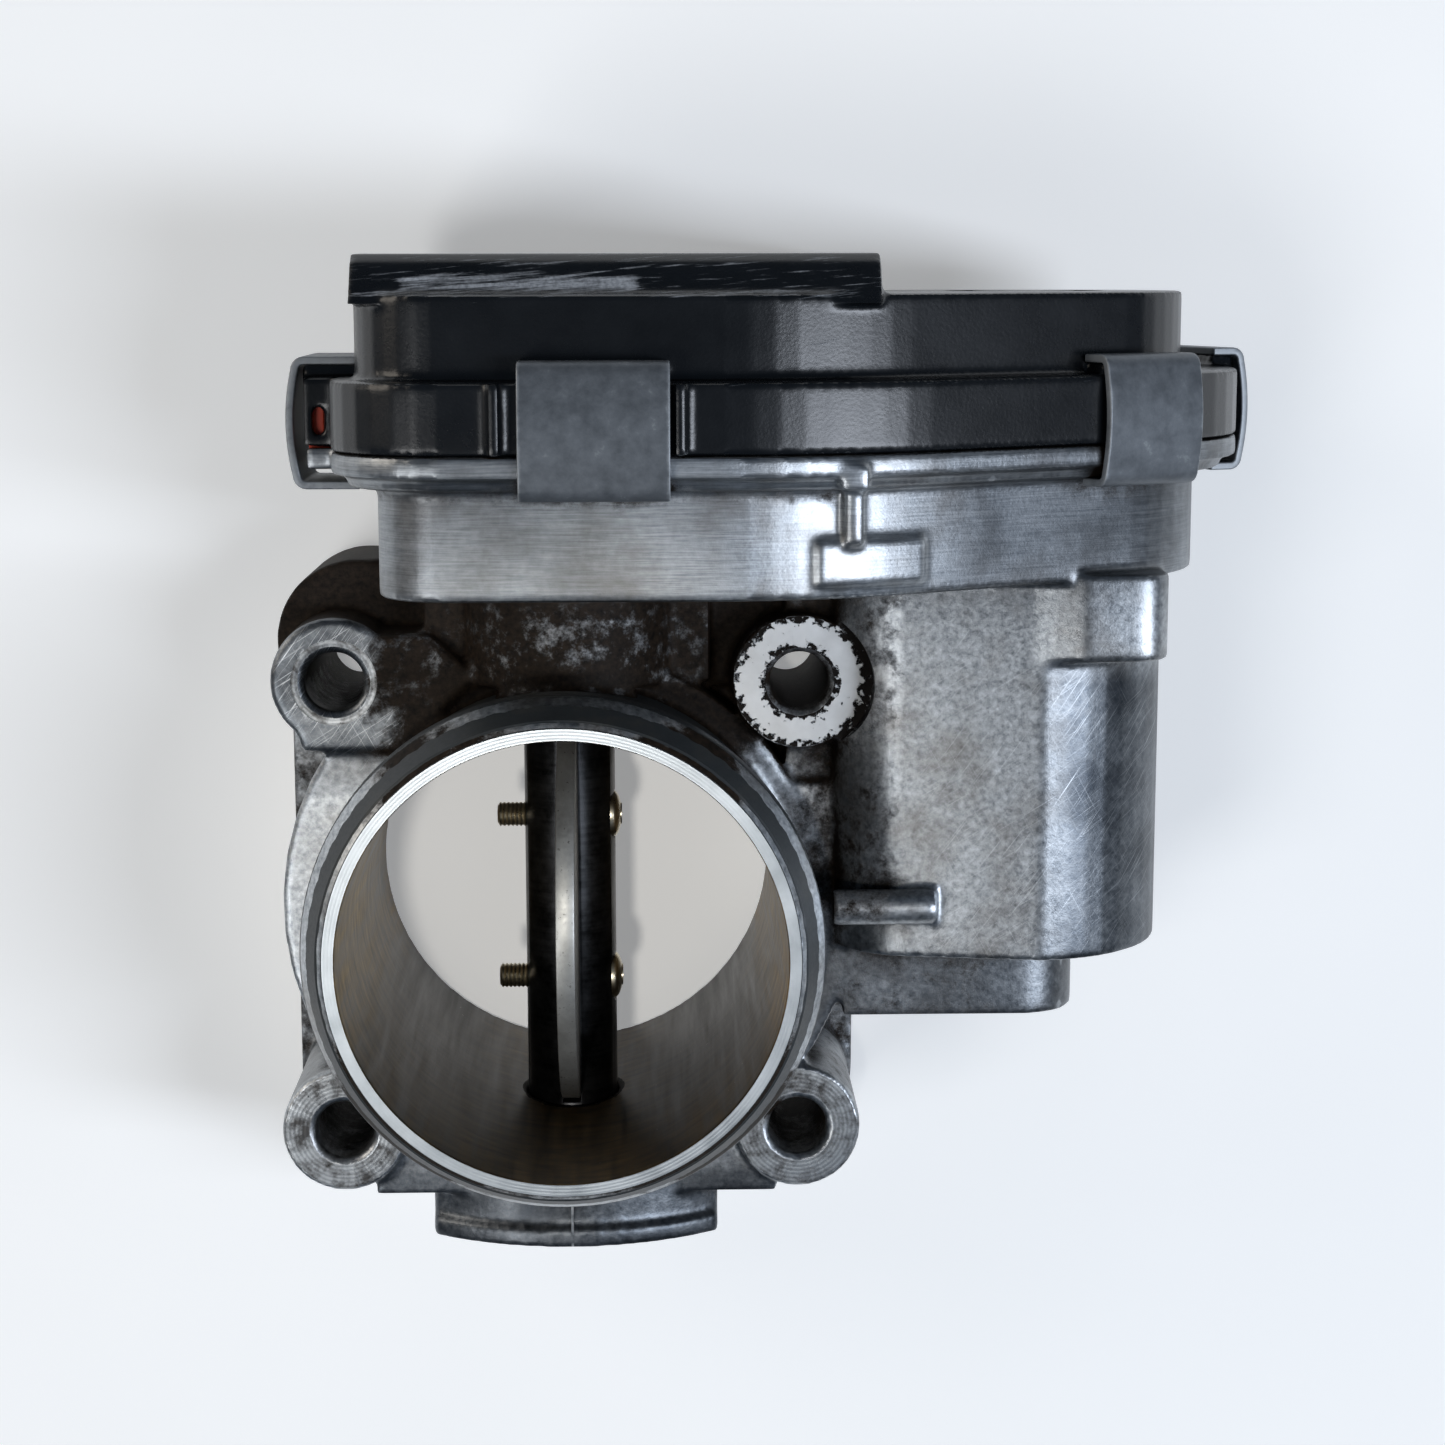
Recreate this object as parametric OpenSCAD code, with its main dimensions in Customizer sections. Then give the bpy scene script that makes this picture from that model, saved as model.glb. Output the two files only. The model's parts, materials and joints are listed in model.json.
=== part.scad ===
// Electrically driven throttle body, normally open.
// The origin is on the bore axis at the engine-side face. +Z runs up the bore to the hose inlet,
// and +Y runs along the throttle shaft to the gearcase.

/* [Bore and spigot] */
// Diameter of the air bore
bore_d = 50; // [48:0.5:51]
// Height of the body from the engine-side face to the inlet lip
body_h = 62; // [60:1:66]
// Outer diameter of the bright inlet lip
lip_d = 53; // [52.5:0.5:54]
// Outer diameter of the spigot's hose land
land_d = 58.8; // [57:0.2:60]
// Outer diameter of the neck behind the hose land
neck_d = 54.6; // [54:0.2:56]

/* [Mounting] */
// Spacing of the four bolts on their square
bolt_pitch = 55; // [54:0.5:57]
// Diameter of the bolt holes
bolt_hole_d = 7; // [6.4:0.2:7]
// Outer diameter of a bolt boss
boss_d = 15.2; // [14.6:0.2:16]
// Height of the bolt faces above the engine-side face
bolt_face_z = 34; // [32:0.5:36]
// Thickness of the engine-side flange
flange_t = 8; // [6:0.5:10]

/* [Throttle] */
// Height of the shaft axis above the engine-side face
shaft_z = 26.5; // [26:0.5:27]
// Diameter of the shaft inside the bore
shaft_d = 11; // [10.5:0.1:11]
// Diameter of the shaft in its bearings
journal_d = 10; // [10:0.1:10.2]
// Thickness of the throttle plate
plate_t = 2.2; // [1.8:0.1:2.4]
// Distance between the two plate screws
screw_pitch = 20.2; // [18:0.2:22]

/* [Gearcase] */
// Underside of the gearcase floor
case_y = 40; // [39.8:0.1:40.4]
// Joint face between housing and cover
joint_y = 56.1; // [55.9:0.1:56.3]
// Top of the cover's rim
rim_y = 63.9; // [63.8:0.1:64.4]
// Top of the cover
cover_y = 73; // [72.8:0.1:74]
// Top of the raised block on the cover
block_y = 77.3; // [77:0.1:78.4]
// Thickness of the gearcase wall
wall = 2.2; // [2:0.1:2.3]

/* [Gears] */
// Module of the sector stage
sector_module = 1.0; // [1]
// Teeth on a full circle of the sector
sector_teeth = 42; // [42]
// Teeth on the intermediate gear's small end
small_teeth = 15; // [15]
// Module of the motor stage
motor_module = 0.8; // [0.8]
// Teeth on the intermediate gear's wheel
wheel_teeth = 55; // [55]
// Teeth on the motor pinion
pinion_teeth = 16; // [16]
// Direction from the shaft to the intermediate gear
idler_angle = 16; // [15:0.5:17]
// Distance of the motor axis to the right of the bore axis
motor_x = 54.5; // [54.4:0.1:54.6]

/* [Hidden] */

$fn = 64;
bore_r = bore_d / 2;
bolt = bolt_pitch / 2;
plate_r = bore_r - 0.3;
shaft_bore_r = shaft_d / 2 + 0.1;
journal_r = journal_d / 2;
bearing_r = 11;                 // outside of the ball bearing
ball_r = 1.2;
ball_circle_r = 8;
seal_r = 8;                     // outside of the upper seal
cup_r = 7.5;                    // outside of the needle cup and the lower seal
needle_r = 0.75;
needle_circle_r = journal_r + needle_r + 0.06;

// Levels along the shaft
floor_y = case_y + 3.4;         // gearcase floor
seal_pocket_y = 27.5;           // start of each seal pocket
upper_seal_y = 31;
cup_y = -39.5;                  // outer end of the needle cup
lower_end_y = -42.1;            // end face of the lower bearing boss
bearing_y = 36.4;               // lower face of the ball bearing
bearing_w = 6;
sector_y = 51.4;                // lower face of the sector
sector_w = 4.5;
small_y = 50.9;                 // lower face of the small gear
wheel_y = 57.4;                 // lower face of the wheel
wheel_w = 4;
idler_top_y = 63.4;             // top of the intermediate gear's hub
shaft_end_y = 57.8;
magnet_y = 58.8;                // lower face of the sensor magnet
roof_y = cover_y - wall;        // inside of the cover's roof
socket_y = 63;                  // floor of the connector socket
board_y = 65.6;                 // lower face of the sensor board
board_t = 1.5;

// Gear train: the idler turns at a fixed direction from the shaft, and the motor's height
// follows from its distance to the idler
idler_cd = sector_module * (sector_teeth + small_teeth) / 2;
motor_cd = motor_module * (wheel_teeth + pinion_teeth) / 2;
idler_x = idler_cd * cos(idler_angle);
idler_z = shaft_z + idler_cd * sin(idler_angle);
motor_z = idler_z - sqrt(pow(motor_cd, 2) - pow(motor_x - idler_x, 2));
motor_dir = atan2(motor_z - idler_z, motor_x - idler_x);

// Motor
can_r = 15;
can_y0 = -0.5;
can_y1 = 40.4;
motor_shaft_r = 1.6;
motor_shaft_y0 = -4.5;
pinion_y0 = 51.4;
pinion_y1 = 62.8;
armature_r = 11.2;
armature_y0 = 8;
armature_y1 = 32;
commutator_r = 4;
commutator_y1 = 39;
terminal_y0 = 37.4;
terminal_t = 0.8;
terminal_w = 3;
contact_y0 = 50;
motor_screw_circle_r = 18.6;
barrel_end_y = -4.8;
step_end_y = -13.9;

// Connector socket, inside the raised block
socket_x0 = -18.4;
socket_x1 = -9;
socket_z0 = 14;
socket_z1 = 42;

// A run of points on an arc in the XZ plane, from angle a0 to a1
function arc(x, z, r, a0, a1, n = 8) =
    [for (i = [0:n]) let (a = a0 + (a1 - a0) * i / n) [x + r * cos(a), z + r * sin(a)]];

// The gearcase outline in plan, grown outwards by d: a flat front that falls away in one long
// slope and turns round the motor
slope = 60.4;
case_x = -12.4;                 // centre of the outline's two left corners
function case_outline(d) = concat(
    arc(case_x, 53.5, 7.5 + d, 180, 90),
    arc(18, 21, 40 + d, 90, slope),
    arc(56, 23, 19.5 + d, slope, -90, 20),
    arc(case_x, 10, 7.5 + d, 270, 180)
);

// The upper part of the cover has the same front, and a smaller turn round the motor
function lid_outline(d) = concat(
    arc(-13.2, 53.5, 8.9 + d, 180, 90),
    arc(18, 21, 41.4 + d, 90, slope),
    arc(55.9, 27.5, 17 + d, slope, -90, 20),
    arc(-13.2, 11, 8.9 + d, 270, 180)
);

// The motor barrel's outline in plan: round on the right, with one sloping face on top
barrel_outline = concat(
    arc(54.4, 26, 17.1, -90, 86, 20),
    arc(41, 31, 9.5, 102, 180),
    arc(41, 18, 9.1, 180, 270)
);

// Extrudes a plan outline from y0 to y1
module along_y(y0, y1) {
    translate([0, y1, 0]) rotate([90, 0, 0]) linear_extrude(y1 - y0) children();
}

// A round bar along Y
module rod_y(x, z, r, y0, y1) {
    translate([x, y1, z]) rotate([90, 0, 0]) cylinder(r = r, h = y1 - y0);
}

// A ring along Y
module ring_y(x, z, r_in, r_out, y0, y1) {
    translate([x, y1, z]) rotate([90, 0, 0]) difference() {
        cylinder(r = r_out, h = y1 - y0);
        translate([0, 0, -1]) cylinder(r = r_in, h = y1 - y0 + 2);
    }
}

// Gearcase outline that stays above the engine-side face
module case_plan(d, low = 0.6) {
    intersection() {
        polygon(case_outline(d));
        translate([-60, low]) square([200, 100]);
    }
}

module at_bolts() {
    for (x = [-bolt, bolt], y = [-bolt, bolt]) translate([x, y, 0]) children();
}

// Involute gear teeth, as one outline. Tooth i is centred at angle (i + shift) pitches.
pressure_angle = 20;
backlash = 0.05;
function inv(a) = tan(a) * 180 / PI - a;
function half_tooth(m, z, r) =
    let (rp = m * z / 2, rb = rp * cos(pressure_angle), rr = max(r, rb))
    90 / z - backlash * 180 / PI / rp + inv(pressure_angle) - inv(acos(rb / rr));
function flank_radii(m, z) =
    let (rp = m * z / 2, rf = rp - 1.15 * m, ra = rp + 0.9 * m, rb = rp * cos(pressure_angle))
    [for (t = [0:4]) let (r0 = max(rf, rb)) t == 0 ? rf : r0 + (ra - r0) * (t - 1) / 3];
function tooth(m, z, i, shift) =
    let (rs = flank_radii(m, z), c = (i + shift) * 360 / z) concat(
        [for (k = [0:4]) let (a = c - half_tooth(m, z, rs[k])) [rs[k] * cos(a), rs[k] * sin(a)]],
        [for (k = [4:-1:0]) let (a = c + half_tooth(m, z, rs[k])) [rs[k] * cos(a), rs[k] * sin(a)]]
    );
function teeth(m, z, first, last, shift) =
    [for (i = [first:last]) each tooth(m, z, i, shift)];

// ---------------------------------------------------------------- housing

// The spigot turned on the inlet end: neck, hose land, lead-in taper and lip
module spigot() {
    rotate_extrude() polygon([
        [bore_r - 2, bolt_face_z - 3], [neck_d / 2, bolt_face_z - 3], [neck_d / 2, body_h - 9.5],
        [land_d / 2, body_h - 8], [land_d / 2, body_h - 5],
        [lip_d / 2 + 0.5, body_h - 0.6], [lip_d / 2, body_h - 0.6], [lip_d / 2, body_h],
        [bore_r - 2, body_h]
    ]);
}

// Flange, tube, ring and the four bolt bosses
module bore_body() {
    flange_r = 8.4;
    linear_extrude(flange_t) polygon(concat(
        arc(bolt, bolt, flange_r, 0, 90), arc(-bolt, bolt, flange_r, 90, 180),
        arc(-bolt, -bolt, flange_r, 180, 270), arc(bolt, -bolt, flange_r, 270, 360)));
    cylinder(r = 30.6, h = bolt_face_z - 1);
    // Ring round the tube, open towards the upper right boss
    translate([0, 0, 21]) linear_extrude(bolt_face_z - 22)
        polygon(concat(arc(0, 0, 34.4, 145, 386, 30), [[24, 15]], [[-20, 20]]));
    translate([0, 0, 21]) cylinder(r = 33, h = 5);
    at_bolts() translate([0, 0, flange_t - 2]) cylinder(d = boss_d, h = bolt_face_z - flange_t + 2);
    // The boss nearest the motor stands a little taller than the others
    translate([bolt, bolt, 20]) cylinder(d = boss_d + 0.8, h = bolt_face_z - 18.5);
    // Triangular pad beside the upper left boss
    translate([0, 0, 22]) linear_extrude(bolt_face_z - 22)
        polygon([[-31.4, 19.2], [-32.9, 23.6], [-32.9, 28.4], [-31.2, 31.6], [-28.2, 33],
            [-16, 33], [-10.6, 28], [-19.6, 19.2]]);
    // Lower webs between the bosses and the tube
    translate([-24, -36.2, 16]) cube([14, 16, bolt_face_z - 18]);
    translate([10, -36.2, 16]) cube([15, 16, bolt_face_z - 18]);
    // Casting shoulder between the upper left boss and the gearcase
    translate([-25.6, 31.2, 5]) cylinder(r = 9.8, h = 19);
    translate([-27, 27, 6]) cube([30, case_y - 26, 17]);
}

// Lower bearing boss: a block with a crowned top and a pair of round shoulders
module lower_boss() {
    intersection() {
        translate([-17.2, lower_end_y, 6]) cube([35, 16, 30]);
        union() {
            translate([0, lower_end_y - 1, 4.5]) rotate([-90, 0, 0]) cylinder(r = 30.2, h = 20);
            // Raised rim at the end
            translate([0, lower_end_y - 1, 4.5]) rotate([-90, 0, 0]) cylinder(r = 31, h = 3.3);
        }
    }
}

// Block that carries the upper bearing into the gearcase floor
module upper_boss() {
    rod_y(0, shaft_z, bearing_r + 2.2, 27, case_y + 1);
    translate([-17, 27, 8]) cube([34, case_y - 25, 23.5]);
    translate([10, 26, 8]) cube([22, case_y - 24, 20]);
}

module gearcase() {
    along_y(case_y, joint_y - 2.6) polygon(case_outline(0));
    along_y(joint_y - 3.9, joint_y - 2.4) case_plan(3.2);
    along_y(joint_y - 2.5, joint_y) case_plan(5);
    // Ear under the left clip
    translate([-28.4, joint_y - 2.5, tab_z - 12]) cube([9, 2.5, 14]);
    // Upright rib and raised pad on the front wall, and a small block where the rib meets the flange
    translate([31, 46, 50]) cube([2, joint_y - 48, 10.4]);
    translate([30.4, joint_y - 3.9, 50]) cube([2.8, 2.8, 14.4]);
    intersection() {
        along_y(case_y + 1.6, 46.4) polygon(case_outline(0.7));
        translate([28.1, case_y, 40]) cube([12.2, 8, 30]);
    }
}

module motor_barrel() {
    along_y(barrel_end_y, case_y + 1) polygon(barrel_outline);
    rod_y(motor_x, motor_z, 7.1, step_end_y, barrel_end_y + 1);
    translate([33, step_end_y, motor_z - 7.1]) cube([motor_x - 33, 11, 14.2]);
    // Cast lug where the barrel meets the gearcase, rising out of the sloping face
    along_y(30.8, case_y + 1) polygon(concat(
        [[52, 30], [52, 42.2], [60, 44.4]], arc(66, 40.4, 4, 90, 0), [[70, 30]]));
    // Round cast nub across the barrel
    translate([31, 1.8, 42.3]) rotate([0, 90, 0]) cylinder(r = 2.1, h = 12.2);
    // Web that ties the barrel to the bore
    translate([26, -6, 10]) cube([12, case_y + 5, 22]);
}

module gearcase_bosses() {
    rod_y(idler_x, idler_z, 4.6, case_y + 1, small_y - 1.1);
    ring_y(0, shaft_z, bearing_r + 0.2, bearing_r + 2.6, case_y + 1, floor_y + 1);
}

module housing() {
    color("#9a9d9f") difference() {
        union() {
            difference() {
                union() {
                    bore_body();
                    lower_boss();
                    upper_boss();
                    gearcase();
                    motor_barrel();
                }
                along_y(floor_y, joint_y + 1) polygon(case_outline(-wall));
            }
            gearcase_bosses();
            spigot();
        }
        // Air bore
        translate([0, 0, -1]) cylinder(r = bore_r, h = body_h + 2);
        // Bolt holes with chamfered mouths
        at_bolts() translate([0, 0, -1]) cylinder(d = bolt_hole_d, h = 40);
        for (x = [-bolt, bolt], y = [-bolt, bolt]) {
            top = x > 0 && y > 0 ? bolt_face_z + 1.5 : bolt_face_z;
            translate([x, y, top - 0.7]) cylinder(r1 = bolt_hole_d / 2, r2 = bolt_hole_d / 2 + 0.8, h = 0.8);
        }
        // Shaft bore, seal pockets, needle bearing pocket and ball bearing pocket
        rod_y(0, shaft_z, shaft_bore_r, -seal_pocket_y - 1, seal_pocket_y + 6);
        rod_y(0, shaft_z, cup_r, lower_end_y - 1, -seal_pocket_y);
        rod_y(0, shaft_z, seal_r, upper_seal_y - 0.5, bearing_y + 1);
        rod_y(0, shaft_z, bearing_r, bearing_y, floor_y + 2);
        rod_y(0, shaft_z, bearing_r + 0.7, bearing_y + bearing_w, bearing_y + bearing_w + 1);
        // Motor cavity and its rear bearing pocket
        rod_y(motor_x, motor_z, can_r + 0.4, can_y0 - 0.8, floor_y + 1);
        rod_y(motor_x, motor_z, 5.2, -8, 0);
        // Pin hole, and threads for the motor screws
        rod_y(idler_x, idler_z, 2, case_y + 1.2, small_y);
        motor_screw_places() rod_y(0, 0, 1.5, 35, floor_y + 1);
        // Gasket groove, and the notch for its tab
        along_y(joint_y - 1.5, joint_y + 1) difference() {
            case_plan(2.8, 1.4);
            case_plan(0.8, 3.4);
        }
        translate([-28, joint_y - 1.5, tab_z - 2.2]) cube([6, 3, 3.2]);
    }
}

module motor_screw_places() {
    for (a = [150, 212])
        translate([motor_x + motor_screw_circle_r * cos(a), 0, motor_z + motor_screw_circle_r * sin(a)])
            children();
}

// ---------------------------------------------------------------- cover, gasket and clips

module gearcase_cover() {
    color("#1b1c1f") difference() {
        union() {
            along_y(joint_y, rim_y) case_plan(5);
            along_y(rim_y - 1, cover_y) polygon(lid_outline(0));
            // Raised block with a bevelled front
            translate([-22, 0, 0]) rotate([90, 0, 90]) linear_extrude(57)
                polygon([[cover_y - 1, 9], [block_y, 9], [block_y, 56.4], [block_y - 0.9, 57.8],
                    [cover_y - 1, 60.8]]);
            // End lug inside the left clip
            translate([-28.4, joint_y, tab_z - 12]) cube([8, rim_y - joint_y, 14]);
            // Seats under the clips' upper legs
            for (p = clip_places) translate([p[0], 0, p[1]]) rotate([0, 90 - p[2], 0])
                translate([-p[3] / 2 + 0.6, rim_y - 1, -p[4]])
                    cube([p[3] - 1.2, clip_y + clip_half_h - clip_t - rim_y + 1, p[4] - 0.4]);
            // Ribs that keep the front clip in its place
            for (x = [-7, 12.7]) translate([x, joint_y, 60]) cube([1.2, rim_y - joint_y, 6.9]);
        }
        difference() {
            union() {
                along_y(joint_y - 1, rim_y - wall) case_plan(-0.8, 3.6);
                along_y(rim_y - wall - 1, roof_y) polygon(lid_outline(-wall));
                translate([-20, roof_y - 1, 11]) cube([53, block_y - roof_y - 1.2, 43]);
            }
            // Socket walls and floor
            translate([socket_x0 - 1.6, socket_y - 2, socket_z0 - 1.6])
                cube([socket_x1 - socket_x0 + 3.2, 20, socket_z1 - socket_z0 + 3.2]);
            // Posts that hold the sensor board
            for (x = [6, 20], z = [17, 42]) rod_y(x, z, 2, board_y + board_t, block_y);
        }
        translate([socket_x0, socket_y, socket_z0])
            cube([socket_x1 - socket_x0, 20, socket_z1 - socket_z0]);
        // Slot in the end lug for the gasket's tab, and the window it shows through
        translate([-28.6, joint_y - 1, tab_z - 0.1]) cube([2.5, tab_h + 1.2, tab_t + 0.3]);
        translate([-27.5, joint_y + 1.3, tab_z]) cube([1.2, 3.1, 3]);
        // Holes for the connector pins
        for (z = pin_places) translate([pin_x - 0.4, socket_y - 4, z - 0.4]) cube([0.8, 10, 0.8]);
    }
}

module cover_gasket() {
    color("#c8452a") {
        along_y(joint_y - 1.5, joint_y) difference() {
            case_plan(2.8, 1.4);
            case_plan(0.8, 3.4);
        }
        // Pull tab at the left end, turned up inside the cover's end lug
        translate([-28.1, joint_y - 1.5, tab_z - 2]) cube([6, 1.5, 2.9]);
        translate([-28.1, joint_y - 1.5, tab_z + 0.1]) cube([1.7, tab_h + 1.5, tab_t]);
    }
}

// One spring clip, seen from the side: a bowed back with a leg over the rim and one under the flange
clip_t = 0.9;
clip_half_h = 7.4;
clip_y = joint_y + 2.6;         // middle of a clip's height
clip_bow_r = 26;
module clip(width, reach) {
    bow_z = 0.5 - sqrt(pow(clip_bow_r, 2) - pow(clip_half_h, 2));
    translate([-width / 2, clip_y, 0]) rotate([90, 0, 90]) linear_extrude(width)
        difference() {
            translate([-clip_half_h, -reach]) square([2 * clip_half_h, reach + 2]);
            translate([-clip_half_h + clip_t, -reach - 1])
                square([2 * (clip_half_h - clip_t), reach + 1.4]);
            difference() {
                translate([-clip_half_h - 1, 0.4]) square([2 * clip_half_h + 2, 4]);
                translate([0, bow_z]) circle(r = clip_bow_r, $fn = 96);
            }
        }
}

// A clip on the round end, at the given direction
function end_clip(a) = [56 + (19.5 + clip_gap) * cos(a), 23 + (19.5 + clip_gap) * sin(a), a, 14, 3.4];

// Clip places: x, z and the outward direction on the joint outline, the clip's width, and how
// far its legs reach in
clip_gap = 5.1;
tab_z = 46;                     // height of the gasket's tab
tab_h = 4.8;
tab_t = 0.8;
clip_places = [
    [4.1, 61 + clip_gap, 90, 16.2, 3.4],
    [66.4, 45.4, slope, 13.5, 3.4],
    end_clip(-20),
    [-29.1, tab_z - 6, 180, 14, 6.6],
    [case_x - 7.5 - clip_gap, 17, 180, 14, 2.6]
];

module cover_clips() {
    color("#3c3f43") for (p = clip_places)
        translate([p[0], 0, p[1]]) rotate([0, 90 - p[2], 0]) clip(p[3], p[4]);
}

// ---------------------------------------------------------------- throttle shaft and plate

head_x = 4.9;                   // underside of the screw heads, from the shaft's axis
module plate_screw_holes(r) {
    for (y = [-screw_pitch / 2, screw_pitch / 2])
        translate([-20, y, shaft_z]) rotate([0, 90, 0]) cylinder(r = r, h = 40);
}

module throttle_shaft() {
    color("#5d5f62") difference() {
        union() {
            rod_y(0, shaft_z, shaft_d / 2, -29.8, 30.2);
            rod_y(0, shaft_z, journal_r, -39.2, sector_y);
            rod_y(0, shaft_z, 4, sector_y - 1, shaft_end_y);
        }
        // Slot for the plate, and the screw holes
        translate([-plate_t / 2, -plate_r - 0.1, shaft_z - 10]) cube([plate_t, 2 * plate_r + 0.2, 20]);
        plate_screw_holes(1.5);
        // Spot faces under the screw heads
        for (y = [-screw_pitch / 2, screw_pitch / 2])
            translate([head_x, y, shaft_z]) rotate([0, 90, 0]) cylinder(r = 3.1, h = 2);
        // Flats that key the sector insert
        for (s = [-1, 1]) translate([s * 4 - 1, sector_y, shaft_z - 5]) cube([2, 10, 10]);
    }
}

module throttle_plate() {
    color("#b4b6b6") difference() {
        translate([-plate_t / 2, 0, shaft_z]) rotate([0, 90, 0]) cylinder(r = plate_r, h = plate_t);
        plate_screw_holes(1.5);
    }
}

module plate_screws() {
    color("#c9b98a") for (y = [-screw_pitch / 2, screw_pitch / 2])
        translate([0, y, shaft_z]) rotate([0, 90, 0]) {
            translate([0, 0, -8.8]) cylinder(r = 1.5, h = head_x + 9);
            // Domed head
            difference() {
                translate([0, 0, head_x]) cylinder(r = 2.9, h = 1.4);
                translate([0, 0, head_x + 0.7]) cylinder(r = 1.2, h = 1, $fn = 6);
            }
        }
}

// ---------------------------------------------------------------- bearings and seals

module shaft_seals() {
    color("#26262a") {
        ring_y(0, shaft_z, shaft_d / 2 + 0.05, cup_r, -29.7, -seal_pocket_y);
        ring_y(0, shaft_z, journal_r + 0.05, seal_r, upper_seal_y, upper_seal_y + 4);
    }
}

module lower_needle_bearing() {
    color("#8d9094") {
        ring_y(0, shaft_z, cup_r - 0.9, cup_r, cup_y, -30.2);
        // Needle rollers
        for (i = [0:11])
            rod_y(needle_circle_r * cos(30 * i), shaft_z + needle_circle_r * sin(30 * i), needle_r,
                cup_y + 0.5, -30.7);
    }
}

module upper_bearing_outer_ring() {
    color("#a9acb0") ring_y(0, shaft_z, ball_circle_r + 1.25, bearing_r, bearing_y, bearing_y + bearing_w);
}

module upper_bearing_inner_ring() {
    color("#a9acb0") ring_y(0, shaft_z, journal_r, ball_circle_r - 1.25, bearing_y, bearing_y + bearing_w);
}

module upper_bearing_balls() {
    color("#c8cacd") for (a = [0:360 / 11:359])
        translate([ball_circle_r * cos(a), bearing_y + bearing_w / 2, shaft_z + ball_circle_r * sin(a)])
            sphere(r = ball_r);
}

module bearing_circlip() {
    color("#4a4c50") difference() {
        ring_y(0, shaft_z, bearing_r - 1.4, bearing_r + 0.6,
            bearing_y + bearing_w, bearing_y + bearing_w + 0.95);
        translate([-1.5, bearing_y, shaft_z - 13]) cube([3, 10, 5]);
    }
}

module shaft_end_plug() {
    color("#77797c") difference() {
        rod_y(0, shaft_z, cup_r, lower_end_y + 0.2, cup_y - 0.1);
        rod_y(0, shaft_z, cup_r - 1.2, lower_end_y - 1, lower_end_y + 1.2);
    }
}

// ---------------------------------------------------------------- sector, spring and sensor

module sector_gear() {
    tooth_pitch = 360 / sector_teeth;
    color("#d9d2c0") difference() {
        union() {
            translate([0, 0, shaft_z]) along_y(sector_y, sector_y + sector_w)
                rotate([0, 0, idler_angle]) polygon(concat(
                    [[0, 0]], teeth(sector_module, sector_teeth, -1, 10, 0.5)));
            rod_y(0, shaft_z, 8.6, sector_y, sector_y + sector_w);
            rod_y(0, shaft_z, 5, sector_y + sector_w - 1, magnet_y + 4);
        }
        rod_y(0, shaft_z, 6, sector_y - 1, sector_y + 1.6);
        rod_y(0, shaft_z, 4, sector_y - 1, shaft_end_y);
        rod_y(0, shaft_z, 3.6, magnet_y, magnet_y + 5);
        // Lightening window
        translate([0, 0, shaft_z]) along_y(sector_y - 1, sector_y + sector_w + 1)
            polygon(concat(arc(0, 0, 16.5, idler_angle + 8, idler_angle + 80),
                arc(0, 0, 11, idler_angle + 80, idler_angle + 8)));
    }
}

module sector_insert() {
    color("#86898c") difference() {
        rod_y(0, shaft_z, 6, sector_y, sector_y + 1.6);
        intersection() {
            rod_y(0, shaft_z, 4, sector_y - 1, sector_y + 3);
            translate([-3, sector_y - 1, shaft_z - 5]) cube([6, 4, 10]);
        }
    }
}

module sensor_magnet() {
    color("#3a3a3e") rod_y(0, shaft_z, 3.6, magnet_y, magnet_y + 4);
}

// A closed tube of eight sides swept along a list of points
function unit(v) = v / norm(v);
function tube_points(path, r, up) = [for (i = [0:len(path) - 1])
    let (t = unit(path[min(i + 1, len(path) - 1)] - path[max(i - 1, 0)]),
         u = unit(cross(up, t)), w = cross(t, u))
    for (k = [0:7]) path[i] + r * (cos(45 * k) * u + sin(45 * k) * w)];
module tube(path, r, up) {
    n = len(path);
    polyhedron(tube_points(path, r, up), concat(
        [[for (k = [7:-1:0]) k]],
        [for (i = [0:n - 2], k = [0:7])
            [8 * i + k, 8 * i + (k + 1) % 8, 8 * i + 8 + (k + 1) % 8, 8 * i + 8 + k]],
        [[for (k = [0:7]) 8 * (n - 1) + k]]), convexity = 10);
}

// Torsion spring: five turns round the shaft, with both ends turned outwards
spring_r = 10.4;
spring_wire_r = 0.55;
spring_y = floor_y + 1.9;
spring_pitch = 0.89;
spring_path = concat(
    [[-spring_r - 3.6, spring_y, shaft_z - 3]],
    [for (i = [0:90]) let (a = 180 + 20 * i)
        [spring_r * cos(a), spring_y + i * spring_pitch / 18, shaft_z + spring_r * sin(a)]],
    [[-spring_r - 3.6, spring_y + 5 * spring_pitch, shaft_z - 3.4]]);

module return_spring() {
    color("#6e7074") tube(spring_path, spring_wire_r, [0, 1, 0]);
}

module spring_guide() {
    color("#2f4a63") {
        ring_y(0, shaft_z, 6.2, 9.4, floor_y + 1, sector_y - 0.6);
        ring_y(0, shaft_z, 6.2, 10.9, floor_y + 0.1, floor_y + 1.1);
    }
}

module sensor_board() {
    color("#1f5c3a") difference() {
        translate([-5.6, board_y, 13.5]) cube([29, board_t, 32]);
        rod_y(12, 38, 1.5, board_y - 1, board_y + 2);
    }
}

module sensor_chip() {
    color("#202124") translate([-3.2, board_y - 1.5, shaft_z - 3.2]) cube([6.4, 1.5, 6.4]);
}

// ---------------------------------------------------------------- intermediate gear

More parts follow.
